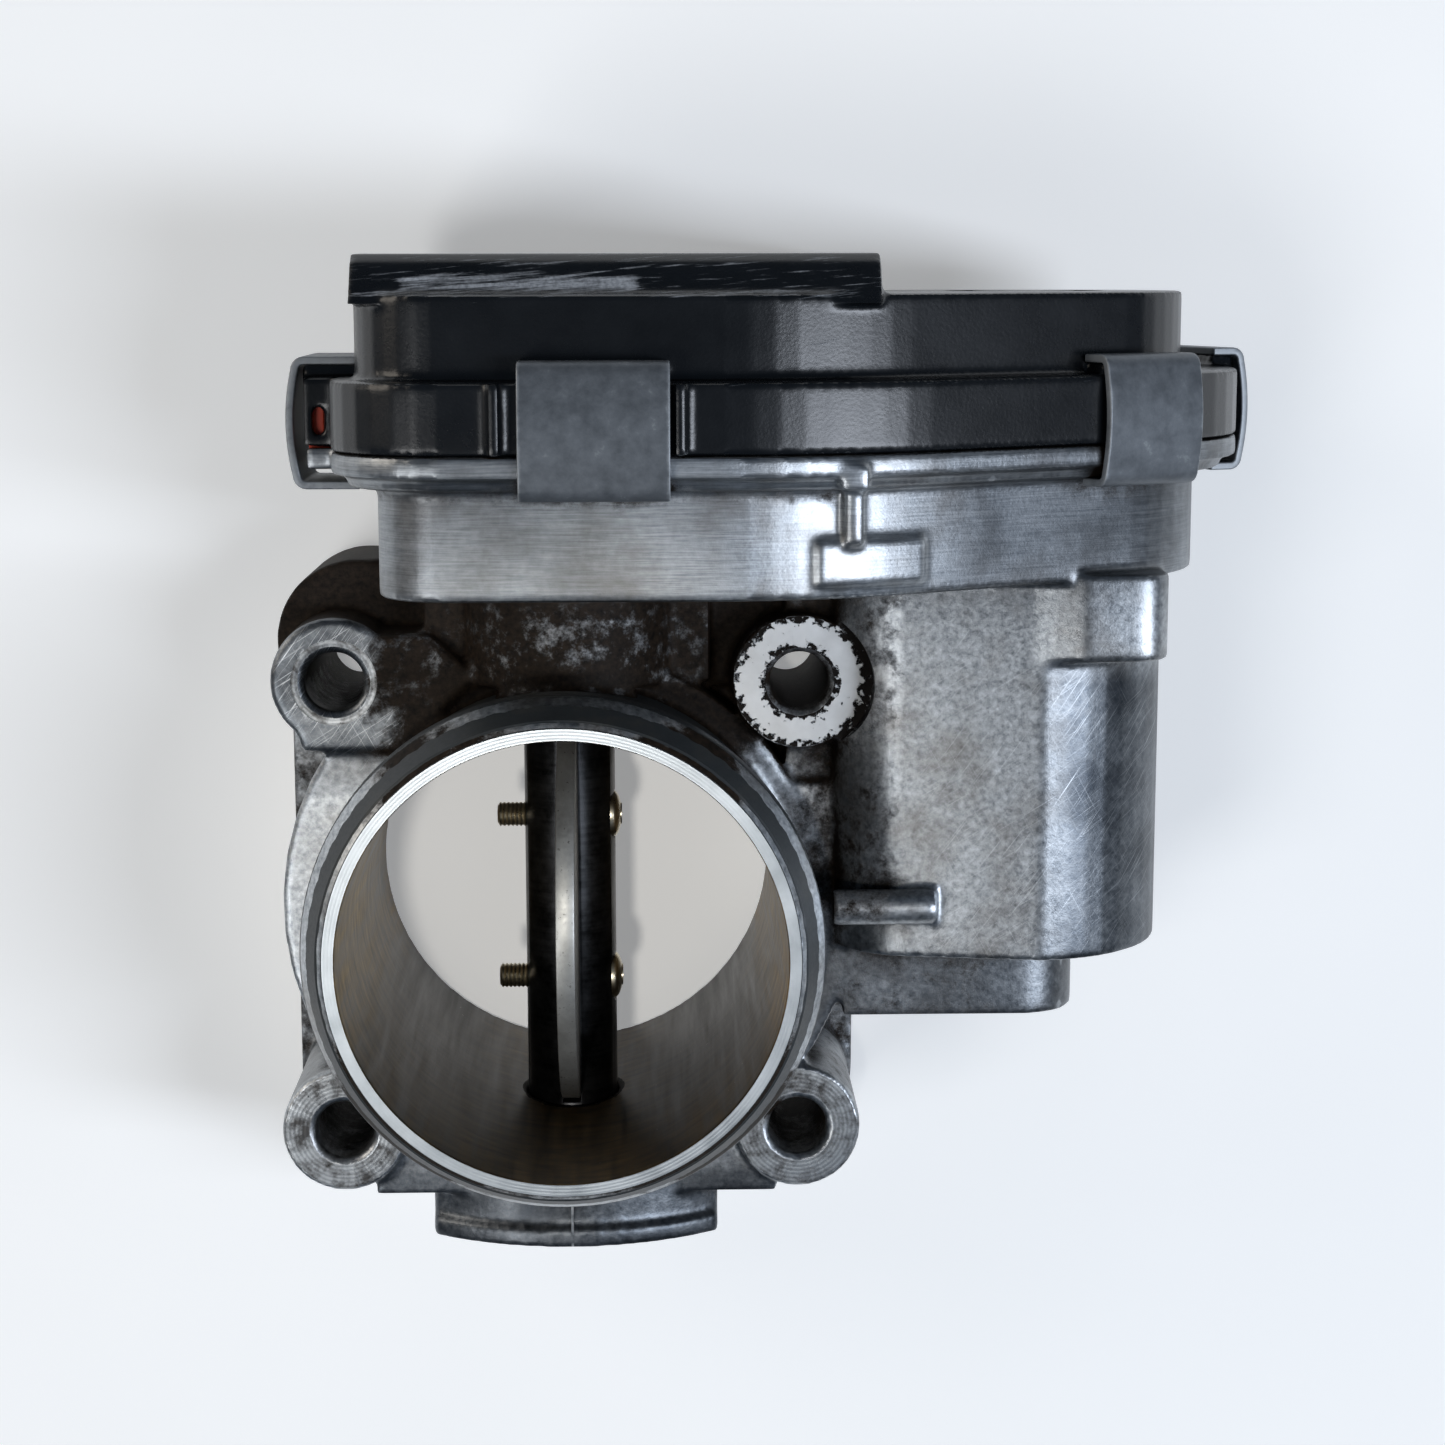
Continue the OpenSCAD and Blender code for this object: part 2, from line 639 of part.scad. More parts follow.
module intermediate_gear() {
    color("#e4dfcf") difference() {
        translate([idler_x, 0, idler_z]) union() {
            along_y(small_y, wheel_y + 1) rotate([0, 0, idler_angle + 180])
                polygon(teeth(sector_module, small_teeth, 0, small_teeth - 1, 0));
            along_y(wheel_y, wheel_y + wheel_w) rotate([0, 0, motor_dir])
                polygon(teeth(motor_module, wheel_teeth, 0, wheel_teeth - 1, 0));
            rod_y(0, 0, 4, wheel_y, idler_top_y);
        }
        rod_y(idler_x, idler_z, 2.05, small_y - 1, idler_top_y + 1);
        // Round recess on the wheel's top face
        ring_y(idler_x, idler_z, 8, 17.5, wheel_y + 2.6, wheel_y + 5);
    }
}

module intermediate_pin() {
    color("#b9bbbe") rod_y(idler_x, idler_z, 2, case_y + 1.2, idler_top_y + 2);
}

module thrust_washers() {
    color("#c7a54f") {
        ring_y(idler_x, idler_z, 2, 4, small_y - 1, small_y - 0.3);
        ring_y(idler_x, idler_z, 2, 3.6, idler_top_y + 0.3, idler_top_y + 1);
    }
}

// ---------------------------------------------------------------- motor

module motor_can() {
    color("#94979a") difference() {
        rod_y(motor_x, motor_z, can_r, can_y0, can_y1);
        rod_y(motor_x, motor_z, can_r - 1.2, can_y0 + 1.2, can_y1 + 1);
        rod_y(motor_x, motor_z, 4, can_y0 - 1, can_y0 + 2);
    }
}

module motor_magnets() {
    color("#4b4b4f") difference() {
        ring_y(motor_x, motor_z, armature_r + 0.4, can_r - 1.2, armature_y0 - 3, armature_y1 + 2);
        for (s = [-1, 1]) translate([motor_x - 3, 0, motor_z + s * 12.5 - 4]) cube([6, 36, 8]);
    }
}

module motor_front_plate() {
    color("#7f8286") difference() {
        union() {
            rod_y(motor_x, motor_z, can_r, can_y1, floor_y);
            // Ears under the two screws
            motor_screw_places() rod_y(0, 0, 4.2, floor_y, floor_y + 1.4);
            rod_y(motor_x, motor_z, can_r, floor_y - 0.5, floor_y + 1.4);
        }
        rod_y(motor_x, motor_z, 4, can_y1 - 1, floor_y + 2);
        motor_screw_places() rod_y(0, 0, 1.7, floor_y - 1, floor_y + 2);
        for (z = terminal_places)
            translate([terminal_x - terminal_t / 2, can_y1 - 1, z - terminal_w / 2])
                cube([terminal_t, 8, terminal_w]);
    }
}

module motor_armature() {
    color("#8a5a34") difference() {
        rod_y(motor_x, motor_z, armature_r, armature_y0, armature_y1);
        rod_y(motor_x, motor_z, motor_shaft_r, armature_y0 - 1, armature_y1 + 1);
        // Winding slots
        for (a = [0:72:288]) translate([motor_x, armature_y0 - 1, motor_z]) rotate([0, a, 0])
            translate([6.5, 0, -0.9]) cube([6, armature_y1 - armature_y0 + 2, 1.8]);
    }
}

module motor_commutator() {
    color("#b87338") ring_y(motor_x, motor_z, motor_shaft_r, commutator_r, armature_y1 + 1, commutator_y1);
}

module motor_brushes() {
    color("#333336") for (s = [-1, 1])
        translate([motor_x - 1.4, armature_y1 + 2.2, motor_z + s * (commutator_r + 2.1) - 2])
            cube([2.8, 3.4, 4]);
}

module motor_bushes() {
    color("#b08d4c") {
        ring_y(motor_x, motor_z, motor_shaft_r + 0.04, 4, can_y0 - 3, can_y0 + 1.2);
        ring_y(motor_x, motor_z, motor_shaft_r + 0.04, 4, can_y1, floor_y + 3);
    }
}

module motor_shaft() {
    color("#c3c5c8") rod_y(motor_x, motor_z, motor_shaft_r, motor_shaft_y0, pinion_y1 + 0.6);
}

module motor_pinion() {
    color("#c9a94d") translate([motor_x, 0, motor_z]) difference() {
        along_y(pinion_y0, pinion_y1) rotate([0, 0, motor_dir + 180])
            polygon(teeth(motor_module, pinion_teeth, 0, pinion_teeth - 1, 0.5));
        rod_y(0, 0, motor_shaft_r, pinion_y0 - 1, pinion_y1 + 1);
    }
}

module motor_screws() {
    color("#9da0a3") motor_screw_places() {
        rod_y(0, 0, 1.5, 36, floor_y + 1.4);
        difference() {
            rod_y(0, 0, 2.8, floor_y + 1.4, floor_y + 3.4);
            rod_y(0, 0, 1.3, floor_y + 2.2, floor_y + 4, $fn = 6);
        }
    }
}

module motor_wave_washer() {
    color("#55585c") ring_y(motor_x, motor_z, 9, 13.5, can_y0 - 0.7, can_y0);
}

terminal_x = motor_x + 10.5;
terminal_places = [motor_z - 4.4, motor_z + 4.4];

module motor_terminals() {
    color("#c9a94d") for (z = terminal_places)
        translate([terminal_x - terminal_t / 2, terminal_y0, z - terminal_w / 2])
            cube([terminal_t, 16, terminal_w]);
}

// ---------------------------------------------------------------- lead frame

pin_x = (socket_x0 + socket_x1) / 2;
pin_places = [for (i = [0:5]) (socket_z0 + socket_z1) / 2 + (i - 2.5) * 4];

module cover_contacts() {
    color("#d0ad55") for (z = terminal_places)
        translate([terminal_x + terminal_t / 2, contact_y0, z - terminal_w / 2])
            cube([terminal_t, roof_y - contact_y0, terminal_w]);
}

module connector_pins() {
    color("#d0ad55") for (z = pin_places)
        translate([pin_x - 0.4, socket_y - 3.5, z - 0.4]) cube([0.8, 12.5, 0.8]);
}

housing();
gearcase_cover();
cover_gasket();
cover_clips();
throttle_shaft();
throttle_plate();
plate_screws();
shaft_seals();
lower_needle_bearing();
upper_bearing_outer_ring();
upper_bearing_inner_ring();
upper_bearing_balls();
bearing_circlip();
shaft_end_plug();
sector_gear();
sector_insert();
sensor_magnet();
return_spring();
spring_guide();
intermediate_gear();
intermediate_pin();
thrust_washers();
motor_can();
motor_magnets();
motor_front_plate();
motor_armature();
motor_commutator();
motor_brushes();
motor_bushes();
motor_shaft();
motor_pinion();
motor_screws();
motor_wave_washer();
motor_terminals();
cover_contacts();
connector_pins();
sensor_board();
sensor_chip();
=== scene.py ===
import json
import math

import bmesh
import bpy
import numpy as np
from mathutils import Matrix, Vector


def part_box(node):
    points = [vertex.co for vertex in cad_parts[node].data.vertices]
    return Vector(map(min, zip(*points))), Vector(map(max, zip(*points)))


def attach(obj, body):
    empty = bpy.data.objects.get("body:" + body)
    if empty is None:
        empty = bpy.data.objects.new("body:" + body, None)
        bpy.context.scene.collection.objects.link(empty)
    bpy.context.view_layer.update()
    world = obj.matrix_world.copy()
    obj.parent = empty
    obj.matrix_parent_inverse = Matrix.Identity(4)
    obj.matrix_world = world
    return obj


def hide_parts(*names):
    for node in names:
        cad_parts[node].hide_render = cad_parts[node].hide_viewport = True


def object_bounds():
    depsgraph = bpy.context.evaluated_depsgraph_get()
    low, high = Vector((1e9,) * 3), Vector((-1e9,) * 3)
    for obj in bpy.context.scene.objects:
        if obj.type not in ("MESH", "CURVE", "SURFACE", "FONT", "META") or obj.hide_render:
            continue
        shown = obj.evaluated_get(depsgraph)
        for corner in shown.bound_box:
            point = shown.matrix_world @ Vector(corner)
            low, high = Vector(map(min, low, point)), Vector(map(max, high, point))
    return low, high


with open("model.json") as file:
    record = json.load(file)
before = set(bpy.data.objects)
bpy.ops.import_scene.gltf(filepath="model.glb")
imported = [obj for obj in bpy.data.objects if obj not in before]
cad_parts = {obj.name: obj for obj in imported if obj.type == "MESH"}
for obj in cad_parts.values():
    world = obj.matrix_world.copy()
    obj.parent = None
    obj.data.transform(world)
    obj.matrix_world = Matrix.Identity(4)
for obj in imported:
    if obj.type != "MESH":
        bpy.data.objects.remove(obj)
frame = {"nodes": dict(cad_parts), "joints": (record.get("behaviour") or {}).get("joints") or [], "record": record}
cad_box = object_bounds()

mm = 0.001

# ------------------------------ housing
# One high-pressure aluminium die casting: flange, bore, gearcase and motor barrel. The corners are drawn
# out of the mould with small radii, and then the lip, bore, bolt faces and engine face are machined.
# Years under a bonnet have left burnt oil in its corners and bright scratches on what stands proud.
# Darkening in its corners, on the low ground and on the sides turned from the lights is painted shade, and
# brightening on proud edges and the barrel's sloping face is painted highlight.
mounts = {mount["name"]: mount for mount in frame["record"]["mounts"]}
bolt = mounts["engine_bolts"]["dims"]["spacing_x_mm"] / 2 * mm
bolt_hole_r = mounts["engine_bolts"]["dims"]["hole_r_mm"] * mm
land_r = mounts["inlet_spigot"]["dims"]["r_mm"] * mm
bore_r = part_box("throttle_plate")[1].y + 0.3 * mm
lip_z = 62 * mm
lip_r = 26.5 * mm
neck_r = 27.3 * mm
bolt_face_z = 34 * mm


def linear(hex_colour):
    """An sRGB hex colour as linear RGBA."""
    parts = [int(hex_colour[i:i + 2], 16) / 255 for i in (1, 3, 5)]
    return [c / 12.92 if c <= 0.04045 else ((c + 0.055) / 1.055) ** 2.4 for c in parts] + [1]


def add_node(material, kind, inputs=None, **settings):
    """Adds one shader node, sets its properties, and fills or links its inputs."""
    made = material.node_tree.nodes.new("ShaderNode" + kind)
    for name, value in settings.items():
        setattr(made, name, value)
    for key, value in (inputs or {}).items():
        if isinstance(value, bpy.types.NodeSocket):
            material.node_tree.links.new(value, made.inputs[key])
        else:
            made.inputs[key].default_value = value
    return made


def new_material(name, roughness=0.5, metallic=0.0, ior=1.5):
    """A material with its surface node and the object's own coordinates, which are metres in the frame."""
    material = bpy.data.materials.new(name)
    material.use_nodes = True
    surface = material.node_tree.nodes["Principled BSDF"]
    surface.inputs["Roughness"].default_value = roughness
    surface.inputs["Metallic"].default_value = metallic
    surface.inputs["IOR"].default_value = ior
    place = add_node(material, "TexCoord").outputs["Object"]
    return material, surface, place


def feed(material, surface, **sockets):
    """Links what the nodes have worked out to the surface."""
    for name, socket in sockets.items():
        material.node_tree.links.new(socket, surface.inputs[name.replace("_", " ")])
    return material


def die_cast_aluminium():
    # Cast skin is grey and finely grained, with a soft broken gloss. Burnt oil sits in the corners as a
    # matt brown crust, proud corners are rubbed bright, and the gearcase wall is faintly brushed.
    # The corner crust is deepened by painted shade, proud edges carry a painted highlight, some sides are painted
    # dark and bluish as shade, and the barrel's sloping face is scratched bright as painted highlight.
    material, surface, place = new_material("die_cast_aluminium", metallic=1)
    axes = add_node(material, "SeparateXYZ", {0: place})
    cloud = add_node(material, "TexNoise", {
        "Vector": place, "Scale": 1 / (9 * mm), "Detail": 6, "Roughness": 0.6})
    mottle = add_node(material, "TexNoise", {
        "Vector": place, "Scale": 1 / (0.8 * mm), "Detail": 8, "Roughness": 0.65})
    grain = add_node(material, "TexNoise", {
        "Vector": place, "Scale": 1 / (0.4 * mm), "Detail": 4, "Roughness": 0.65})
    # Brushing runs round the gearcase, 0.2 mm wide and some 6 mm long
    round_case = add_node(material, "Mapping", {
        "Vector": place, "Scale": (1 / (6 * mm), 1 / (0.22 * mm), 1 / (6 * mm))})
    brushing = add_node(material, "TexNoise", {
        "Vector": round_case.outputs[0], "Scale": 1, "Detail": 6, "Roughness": 0.7})
    on_case = add_node(material, "MapRange", {
        "Value": axes.outputs["Y"], "From Min": 39.5 * mm, "From Max": 41 * mm, "To Max": 0.75})
    texture = add_node(material, "Mix", {
        0: on_case.outputs[0], 2: mottle.outputs["Fac"], 3: brushing.outputs["Fac"]})
    spread = add_node(material, "MapRange", {
        "Value": texture.outputs[0], "From Min": 0.28, "From Max": 0.72})
    tone = add_node(material, "Mix", {
        0: spread.outputs[0], 6: linear("#777c81"), 7: linear("#d2d6d9")}, data_type="RGBA")
    tarnish = add_node(material, "MapRange", {
        "Value": cloud.outputs["Fac"], "From Min": 0.45, "From Max": 0.7, "To Max": 0.6})
    aged = add_node(material, "Mix", {
        0: tarnish.outputs[0], 6: tone.outputs[2], 7: linear("#6d665d")}, data_type="RGBA")
    # A dark bluish tone on some sides, still glossy: partly a thin film of old oil, partly painted shade where
    # those sides turn from the lights
    film_and_shade = add_node(material, "Attribute", attribute_name="film_and_shade")
    thick = add_node(material, "Math", {0: cloud.outputs["Fac"], 1: 0.9, 2: 0.5}, operation="MULTIPLY_ADD")
    filmed_and_shaded = add_node(material, "Math", {
        0: film_and_shade.outputs["Fac"], 1: thick.outputs[0]}, operation="MULTIPLY")
    aged = add_node(material, "Mix", {
        0: filmed_and_shaded.outputs[0], 6: aged.outputs[2], 7: linear("#2c333b")}, data_type="RGBA")
    # Rubs and scratches, 0.12 mm wide and some 10 mm long, mostly up to the right; packed dense on the barrel's
    # sloping face as a painted highlight
    scratches_and_highlight = add_node(material, "Attribute", attribute_name="scratches_and_highlight")
    scratched = None
    for turn, depth in ((-0.62, 1), (-1.0, 0.8), (0.5, 0.5)):
        along = add_node(material, "Mapping", {
            "Vector": place, "Rotation": (0, 0, turn), "Scale": (0.12 * mm, 10 * mm, 10 * mm)},
            vector_type="TEXTURE")
        rub = add_node(material, "TexNoise", {
            "Vector": along.outputs[0], "Scale": 1, "Detail": 3, "Roughness": 0.6})
        line = add_node(material, "MapRange", {
            "Value": rub.outputs["Fac"], "From Min": 0.6, "From Max": 0.74, "To Max": depth})
        scratched = line.outputs[0] if scratched is None else add_node(
            material, "Math", {0: scratched, 1: line.outputs[0]}, operation="MAXIMUM").outputs[0]
    cut = add_node(material, "Math", {0: scratched, 1: scratches_and_highlight.outputs["Fac"]}, operation="MULTIPLY")
    # Proud edges brightened, partly rubbed wear and partly a painted edge highlight
    convex = add_node(material, "NewGeometry").outputs["Pointiness"]
    proud = add_node(material, "MapRange", {
        "Value": convex, "From Min": 0.54, "From Max": 0.62, "To Max": 0.6})
    rubbed_and_highlight = add_node(material, "Math", {
        0: proud.outputs[0], 1: mottle.outputs["Fac"]}, operation="MULTIPLY")
    worn = add_node(material, "Math", {0: cut.outputs[0], 1: rubbed_and_highlight.outputs[0]}, operation="MAXIMUM")
    bright = add_node(material, "Mix", {
        0: worn.outputs[0], 6: aged.outputs[2], 7: linear("#e4e8eb")}, data_type="RGBA")
    # Oil crust and painted shade: closed corners found by the AO node are darkened as painted shade, added to the
    # marked zones where oil ran and shade is painted, and broken up by the grain
    ao_shade = add_node(material, "AmbientOcclusion", {"Distance": 7 * mm}, samples=8)
    corner = add_node(material, "MapRange", {
        "Value": ao_shade.outputs["AO"], "From Min": 0.8, "From Max": 0.3, "To Max": 0.55})
    zone = add_node(material, "Attribute", attribute_name="oil_and_shade")
    amount = add_node(material, "Math", {0: corner.outputs[0], 1: zone.outputs["Fac"]}, operation="ADD")
    broken = add_node(material, "TexNoise", {
        "Vector": place, "Scale": 1 / (2.4 * mm), "Detail": 12, "Roughness": 0.75})
    edge = add_node(material, "Math", {0: amount.outputs[0], 1: broken.outputs["Fac"]}, operation="ADD")
    crust_and_shade = add_node(material, "MapRange", {
        "Value": edge.outputs[0], "From Min": 0.78, "From Max": 1.08}, interpolation_type="SMOOTHSTEP")
    crust_and_shade_tone = add_node(material, "Mix", {
        0: spread.outputs[0], 6: linear("#060504"), 7: linear("#2d241c")}, data_type="RGBA")
    colour = add_node(material, "Mix", {
        0: crust_and_shade.outputs[0], 6: bright.outputs[2], 7: crust_and_shade_tone.outputs[2]}, data_type="RGBA")
    metal = add_node(material, "MapRange", {"Value": crust_and_shade.outputs[0], "To Min": 1.0, "To Max": 0.1})
    sheen = add_node(material, "MapRange", {"Value": crust_and_shade.outputs[0], "To Min": 0.5, "To Max": 0.12})
    rough = add_node(material, "MapRange", {"Value": texture.outputs[0], "To Min": 0.28, "To Max": 0.5})
    dull = add_node(material, "Mix", {0: crust_and_shade.outputs[0], 2: rough.outputs[0], 3: 0.6})
    crumbs = add_node(material, "Math", {
        0: broken.outputs["Fac"], 1: crust_and_shade.outputs[0]}, operation="MULTIPLY")
    height = add_node(material, "Math", {
        0: grain.outputs["Fac"], 1: 0.7, 2: crumbs.outputs[0]}, operation="MULTIPLY_ADD")
    skin = add_node(material, "Bump", {
        "Height": height.outputs[0], "Strength": 0.5, "Distance": 0.07 * mm})
    return feed(material, surface, Base_Color=colour.outputs[2], Metallic=metal.outputs[0],
                Specular_IOR_Level=sheen.outputs[0], Roughness=dull.outputs[0], Normal=skin.outputs[0])


def milled_aluminium():
    # The bolt faces are spot-faced and pressed by washers: bright rings about each hole, with dark pits
    # where the skin has corroded. Distances fold about the axes, so one set of rings serves all four.
    material, surface, place = new_material("milled_aluminium", metallic=1)
    folded = add_node(material, "VectorMath", {0: place}, operation="ABSOLUTE")
    centred = add_node(material, "VectorMath", {
        0: folded.outputs[0], 1: (bolt, bolt, 0)}, operation="SUBTRACT")
    rings = add_node(material, "TexWave", {
        "Vector": centred.outputs[0], "Scale": 1 / (1.6 * mm), "Distortion": 0.6, "Detail": 3,
        "Detail Scale": 1.5}, wave_type="RINGS", rings_direction="Z")
    blotch = add_node(material, "TexNoise", {
        "Vector": place, "Scale": 1 / (2.6 * mm), "Detail": 8, "Roughness": 0.7})
    grain = add_node(material, "TexNoise", {
        "Vector": place, "Scale": 1 / (0.4 * mm), "Detail": 4, "Roughness": 0.7})
    ring_tone = add_node(material, "Mix", {
        0: rings.outputs["Fac"], 6: linear("#979b9e"), 7: linear("#b2b6b9")}, data_type="RGBA")
    stain = add_node(material, "MapRange", {
        "Value": blotch.outputs["Fac"], "From Min": 0.42, "From Max": 0.62, "To Max": 0.85})
    stained = add_node(material, "Mix", {
        0: stain.outputs[0], 6: ring_tone.outputs[2], 7: linear("#2f2a26")}, data_type="RGBA")
    pits = add_node(material, "MapRange", {
        "Value": grain.outputs["Fac"], "From Min": 0.66, "From Max": 0.7})
    colour = add_node(material, "Mix", {
        0: pits.outputs[0], 6: stained.outputs[2], 7: linear("#1a1613")}, data_type="RGBA")
    rough = add_node(material, "MapRange", {
        "Value": blotch.outputs["Fac"], "To Min": 0.3, "To Max": 0.58})
    shallow = add_node(material, "Math", {0: rings.outputs["Fac"], 1: 0.25}, operation="MULTIPLY")
    height = add_node(material, "Math", {
        0: shallow.outputs[0], 1: pits.outputs[0]}, operation="SUBTRACT")
    marks = add_node(material, "Bump", {
        "Height": height.outputs[0], "Strength": 0.4, "Distance": 0.06 * mm})
    return feed(material, surface, Base_Color=colour.outputs[2], Roughness=rough.outputs[0],
                Normal=marks.outputs[0])


def lapped_aluminium():
    # The face that carried the bracket by the motor is the brightest: rubbed almost white, with black
    # pits eaten into it, thickest at the rim and round the hole.
    material, surface, place = new_material("lapped_aluminium", metallic=0.85)
    centred = add_node(material, "VectorMath", {0: place, 1: (bolt, bolt, 0)}, operation="SUBTRACT")
    flat = add_node(material, "VectorMath", {0: centred.outputs[0], 1: (1, 1, 0)}, operation="MULTIPLY")
    radius = add_node(material, "VectorMath", {0: flat.outputs[0]}, operation="LENGTH")
    middle = add_node(material, "Math", {0: radius.outputs["Value"], 1: 5.9 * mm}, operation="SUBTRACT")
    away = add_node(material, "Math", {0: middle.outputs[0]}, operation="ABSOLUTE")
    rim = add_node(material, "MapRange", {
        "Value": away.outputs[0], "From Min": 0.6 * mm, "From Max": 2.1 * mm, "To Max": 0.3})
    pitting = add_node(material, "TexNoise", {
        "Vector": place, "Scale": 1 / (0.9 * mm), "Detail": 6, "Roughness": 0.62})
    deep = add_node(material, "Math", {0: pitting.outputs["Fac"], 1: rim.outputs[0]}, operation="ADD")
    pits = add_node(material, "MapRange", {"Value": deep.outputs[0], "From Min": 0.66, "From Max": 0.71})
    cloud = add_node(material, "TexNoise", {"Vector": place, "Scale": 1 / (4 * mm), "Detail": 5})
    white = add_node(material, "Mix", {
        0: cloud.outputs["Fac"], 6: linear("#a3a5a6"), 7: linear("#e9ebec")}, data_type="RGBA")
    colour = add_node(material, "Mix", {
        0: pits.outputs[0], 6: white.outputs[2], 7: linear("#14110f")}, data_type="RGBA")
    rough = add_node(material, "MapRange", {
        "Value": cloud.outputs["Fac"], "To Min": 0.34, "To Max": 0.6})
    sunk = add_node(material, "Bump", {
        "Height": pits.outputs[0], "Strength": 0.8, "Distance": 0.15 * mm}, invert=True)
    return feed(material, surface, Base_Color=colour.outputs[2], Roughness=rough.outputs[0],
                Normal=sunk.outputs[0])


def turned_lip():
    # The inlet lip is faced on a lathe and worn by the hose: pale, even metal with fine rings
    material, surface, place = new_material("turned_lip", metallic=0.9)
    rings = add_node(material, "TexWave", {
        "Vector": place, "Scale": 1 / (1.2 * mm), "Distortion": 0.3, "Detail": 2},
        wave_type="RINGS", rings_direction="Z")
    cloud = add_node(material, "TexNoise", {
        "Vector": place, "Scale": 1 / (5 * mm), "Detail": 6, "Roughness": 0.6})
    colour = add_node(material, "Mix", {
        0: cloud.outputs["Fac"], 6: linear("#8f979d"), 7: linear("#d3d9dd")}, data_type="RGBA")
    rough = add_node(material, "MapRange", {
        "Value": cloud.outputs["Fac"], "To Min": 0.28, "To Max": 0.5})
    marks = add_node(material, "Bump", {
        "Height": rings.outputs["Fac"], "Strength": 0.2, "Distance": 0.03 * mm})
    return feed(material, surface, Base_Color=colour.outputs[2], Roughness=rough.outputs[0],
                Normal=marks.outputs[0])


def spigot_painted_dark():
    # The turned spigot is dark grey and satin, its dark grey painted shade on this side wall, and a little browner
    # where oil has crept
    material, surface, place = new_material("spigot_painted_dark", metallic=0.35, roughness=0.5)
    cloud = add_node(material, "TexNoise", {
        "Vector": place, "Scale": 1 / (9 * mm), "Detail": 6, "Roughness": 0.6})
    fine = add_node(material, "TexNoise", {
        "Vector": place, "Scale": 1 / (0.5 * mm), "Detail": 4, "Roughness": 0.7})
    grey = add_node(material, "Mix", {
        0: cloud.outputs["Fac"], 6: linear("#1c2023"), 7: linear("#3a3e40")}, data_type="RGBA")
    browned = add_node(material, "MapRange", {
        "Value": cloud.outputs["Fac"], "From Min": 0.52, "From Max": 0.75, "To Max": 0.7})
    brown = add_node(material, "Mix", {
        0: browned.outputs[0], 6: grey.outputs[2], 7: linear("#45423b")}, data_type="RGBA")
    specks = add_node(material, "MapRange", {
        "Value": fine.outputs["Fac"], "From Min": 0.78, "From Max": 0.8})
    colour = add_node(material, "Mix", {
        0: specks.outputs[0], 6: brown.outputs[2], 7: linear("#c6cacc")}, data_type="RGBA")
    rough = add_node(material, "MapRange", {
        "Value": fine.outputs["Fac"], "To Min": 0.36, "To Max": 0.62})
    skin = add_node(material, "Bump", {
        "Height": fine.outputs["Fac"], "Strength": 0.25, "Distance": 0.04 * mm})
    return feed(material, surface, Base_Color=colour.outputs[2], Roughness=rough.outputs[0],
                Normal=skin.outputs[0])


def varnished_bore():
    # Blow-by oil has baked on the bored wall as a brown varnish, in streaks round and down the bore,
    # with a few pale crumbs stuck in it
    material, surface, place = new_material("varnished_bore", metallic=0.2)
    round_bore = add_node(material, "Mapping", {
        "Vector": place, "Scale": (1 / (5 * mm), 1 / (5 * mm), 1 / (1.4 * mm))})
    down_bore = add_node(material, "Mapping", {
        "Vector": place, "Scale": (1 / (1.5 * mm), 1 / (1.5 * mm), 1 / (22 * mm))})
    streaks = add_node(material, "TexNoise", {
        "Vector": round_bore.outputs[0], "Scale": 1, "Detail": 5, "Roughness": 0.6})
    runs = add_node(material, "TexNoise", {
        "Vector": down_bore.outputs[0], "Scale": 1, "Detail": 5, "Roughness": 0.6})
    both = add_node(material, "Math", {
        0: streaks.outputs["Fac"], 1: runs.outputs["Fac"]}, operation="MULTIPLY")
    depth = add_node(material, "MapRange", {"Value": both.outputs[0], "From Min": 0.12, "From Max": 0.4})
    brown = add_node(material, "Mix", {
        0: depth.outputs[0], 6: linear("#2c2215"), 7: linear("#ad9060")}, data_type="RGBA")
    # Painted shade: the marked zones turn the bore's upper and lower walls near black
    oil_and_shade = add_node(material, "Attribute", attribute_name="oil_and_shade")
    shade_black = add_node(material, "Mix", {
        0: oil_and_shade.outputs["Fac"], 6: brown.outputs[2], 7: linear("#070605")}, data_type="RGBA")
    crumb = add_node(material, "TexNoise", {"Vector": place, "Scale": 1 / (0.5 * mm), "Detail": 3})
    crumbs = add_node(material, "MapRange", {
        "Value": crumb.outputs["Fac"], "From Min": 0.76, "From Max": 0.79})
    colour = add_node(material, "Mix", {
        0: crumbs.outputs[0], 6: shade_black.outputs[2], 7: linear("#bdb5a8")}, data_type="RGBA")
    rough = add_node(material, "MapRange", {"Value": runs.outputs["Fac"], "To Min": 0.22, "To Max": 0.6})
    skin = add_node(material, "Bump", {
        "Height": both.outputs[0], "Strength": 0.3, "Distance": 0.08 * mm})
    return feed(material, surface, Base_Color=colour.outputs[2], Roughness=rough.outputs[0],
                Normal=skin.outputs[0])


def solid(name, shape, *materials):
    """Closes a bmesh into an object in the frame, with its materials in order."""
    bmesh.ops.remove_doubles(shape, verts=shape.verts, dist=1e-7)
    bmesh.ops.recalc_face_normals(shape, faces=shape.faces)
    mesh = bpy.data.meshes.new(name)
    shape.to_mesh(mesh)
    shape.free()
    for material in materials:
        mesh.materials.append(material)
    made = bpy.data.objects.new(name, mesh)
    bpy.context.scene.collection.objects.link(made)
    return made


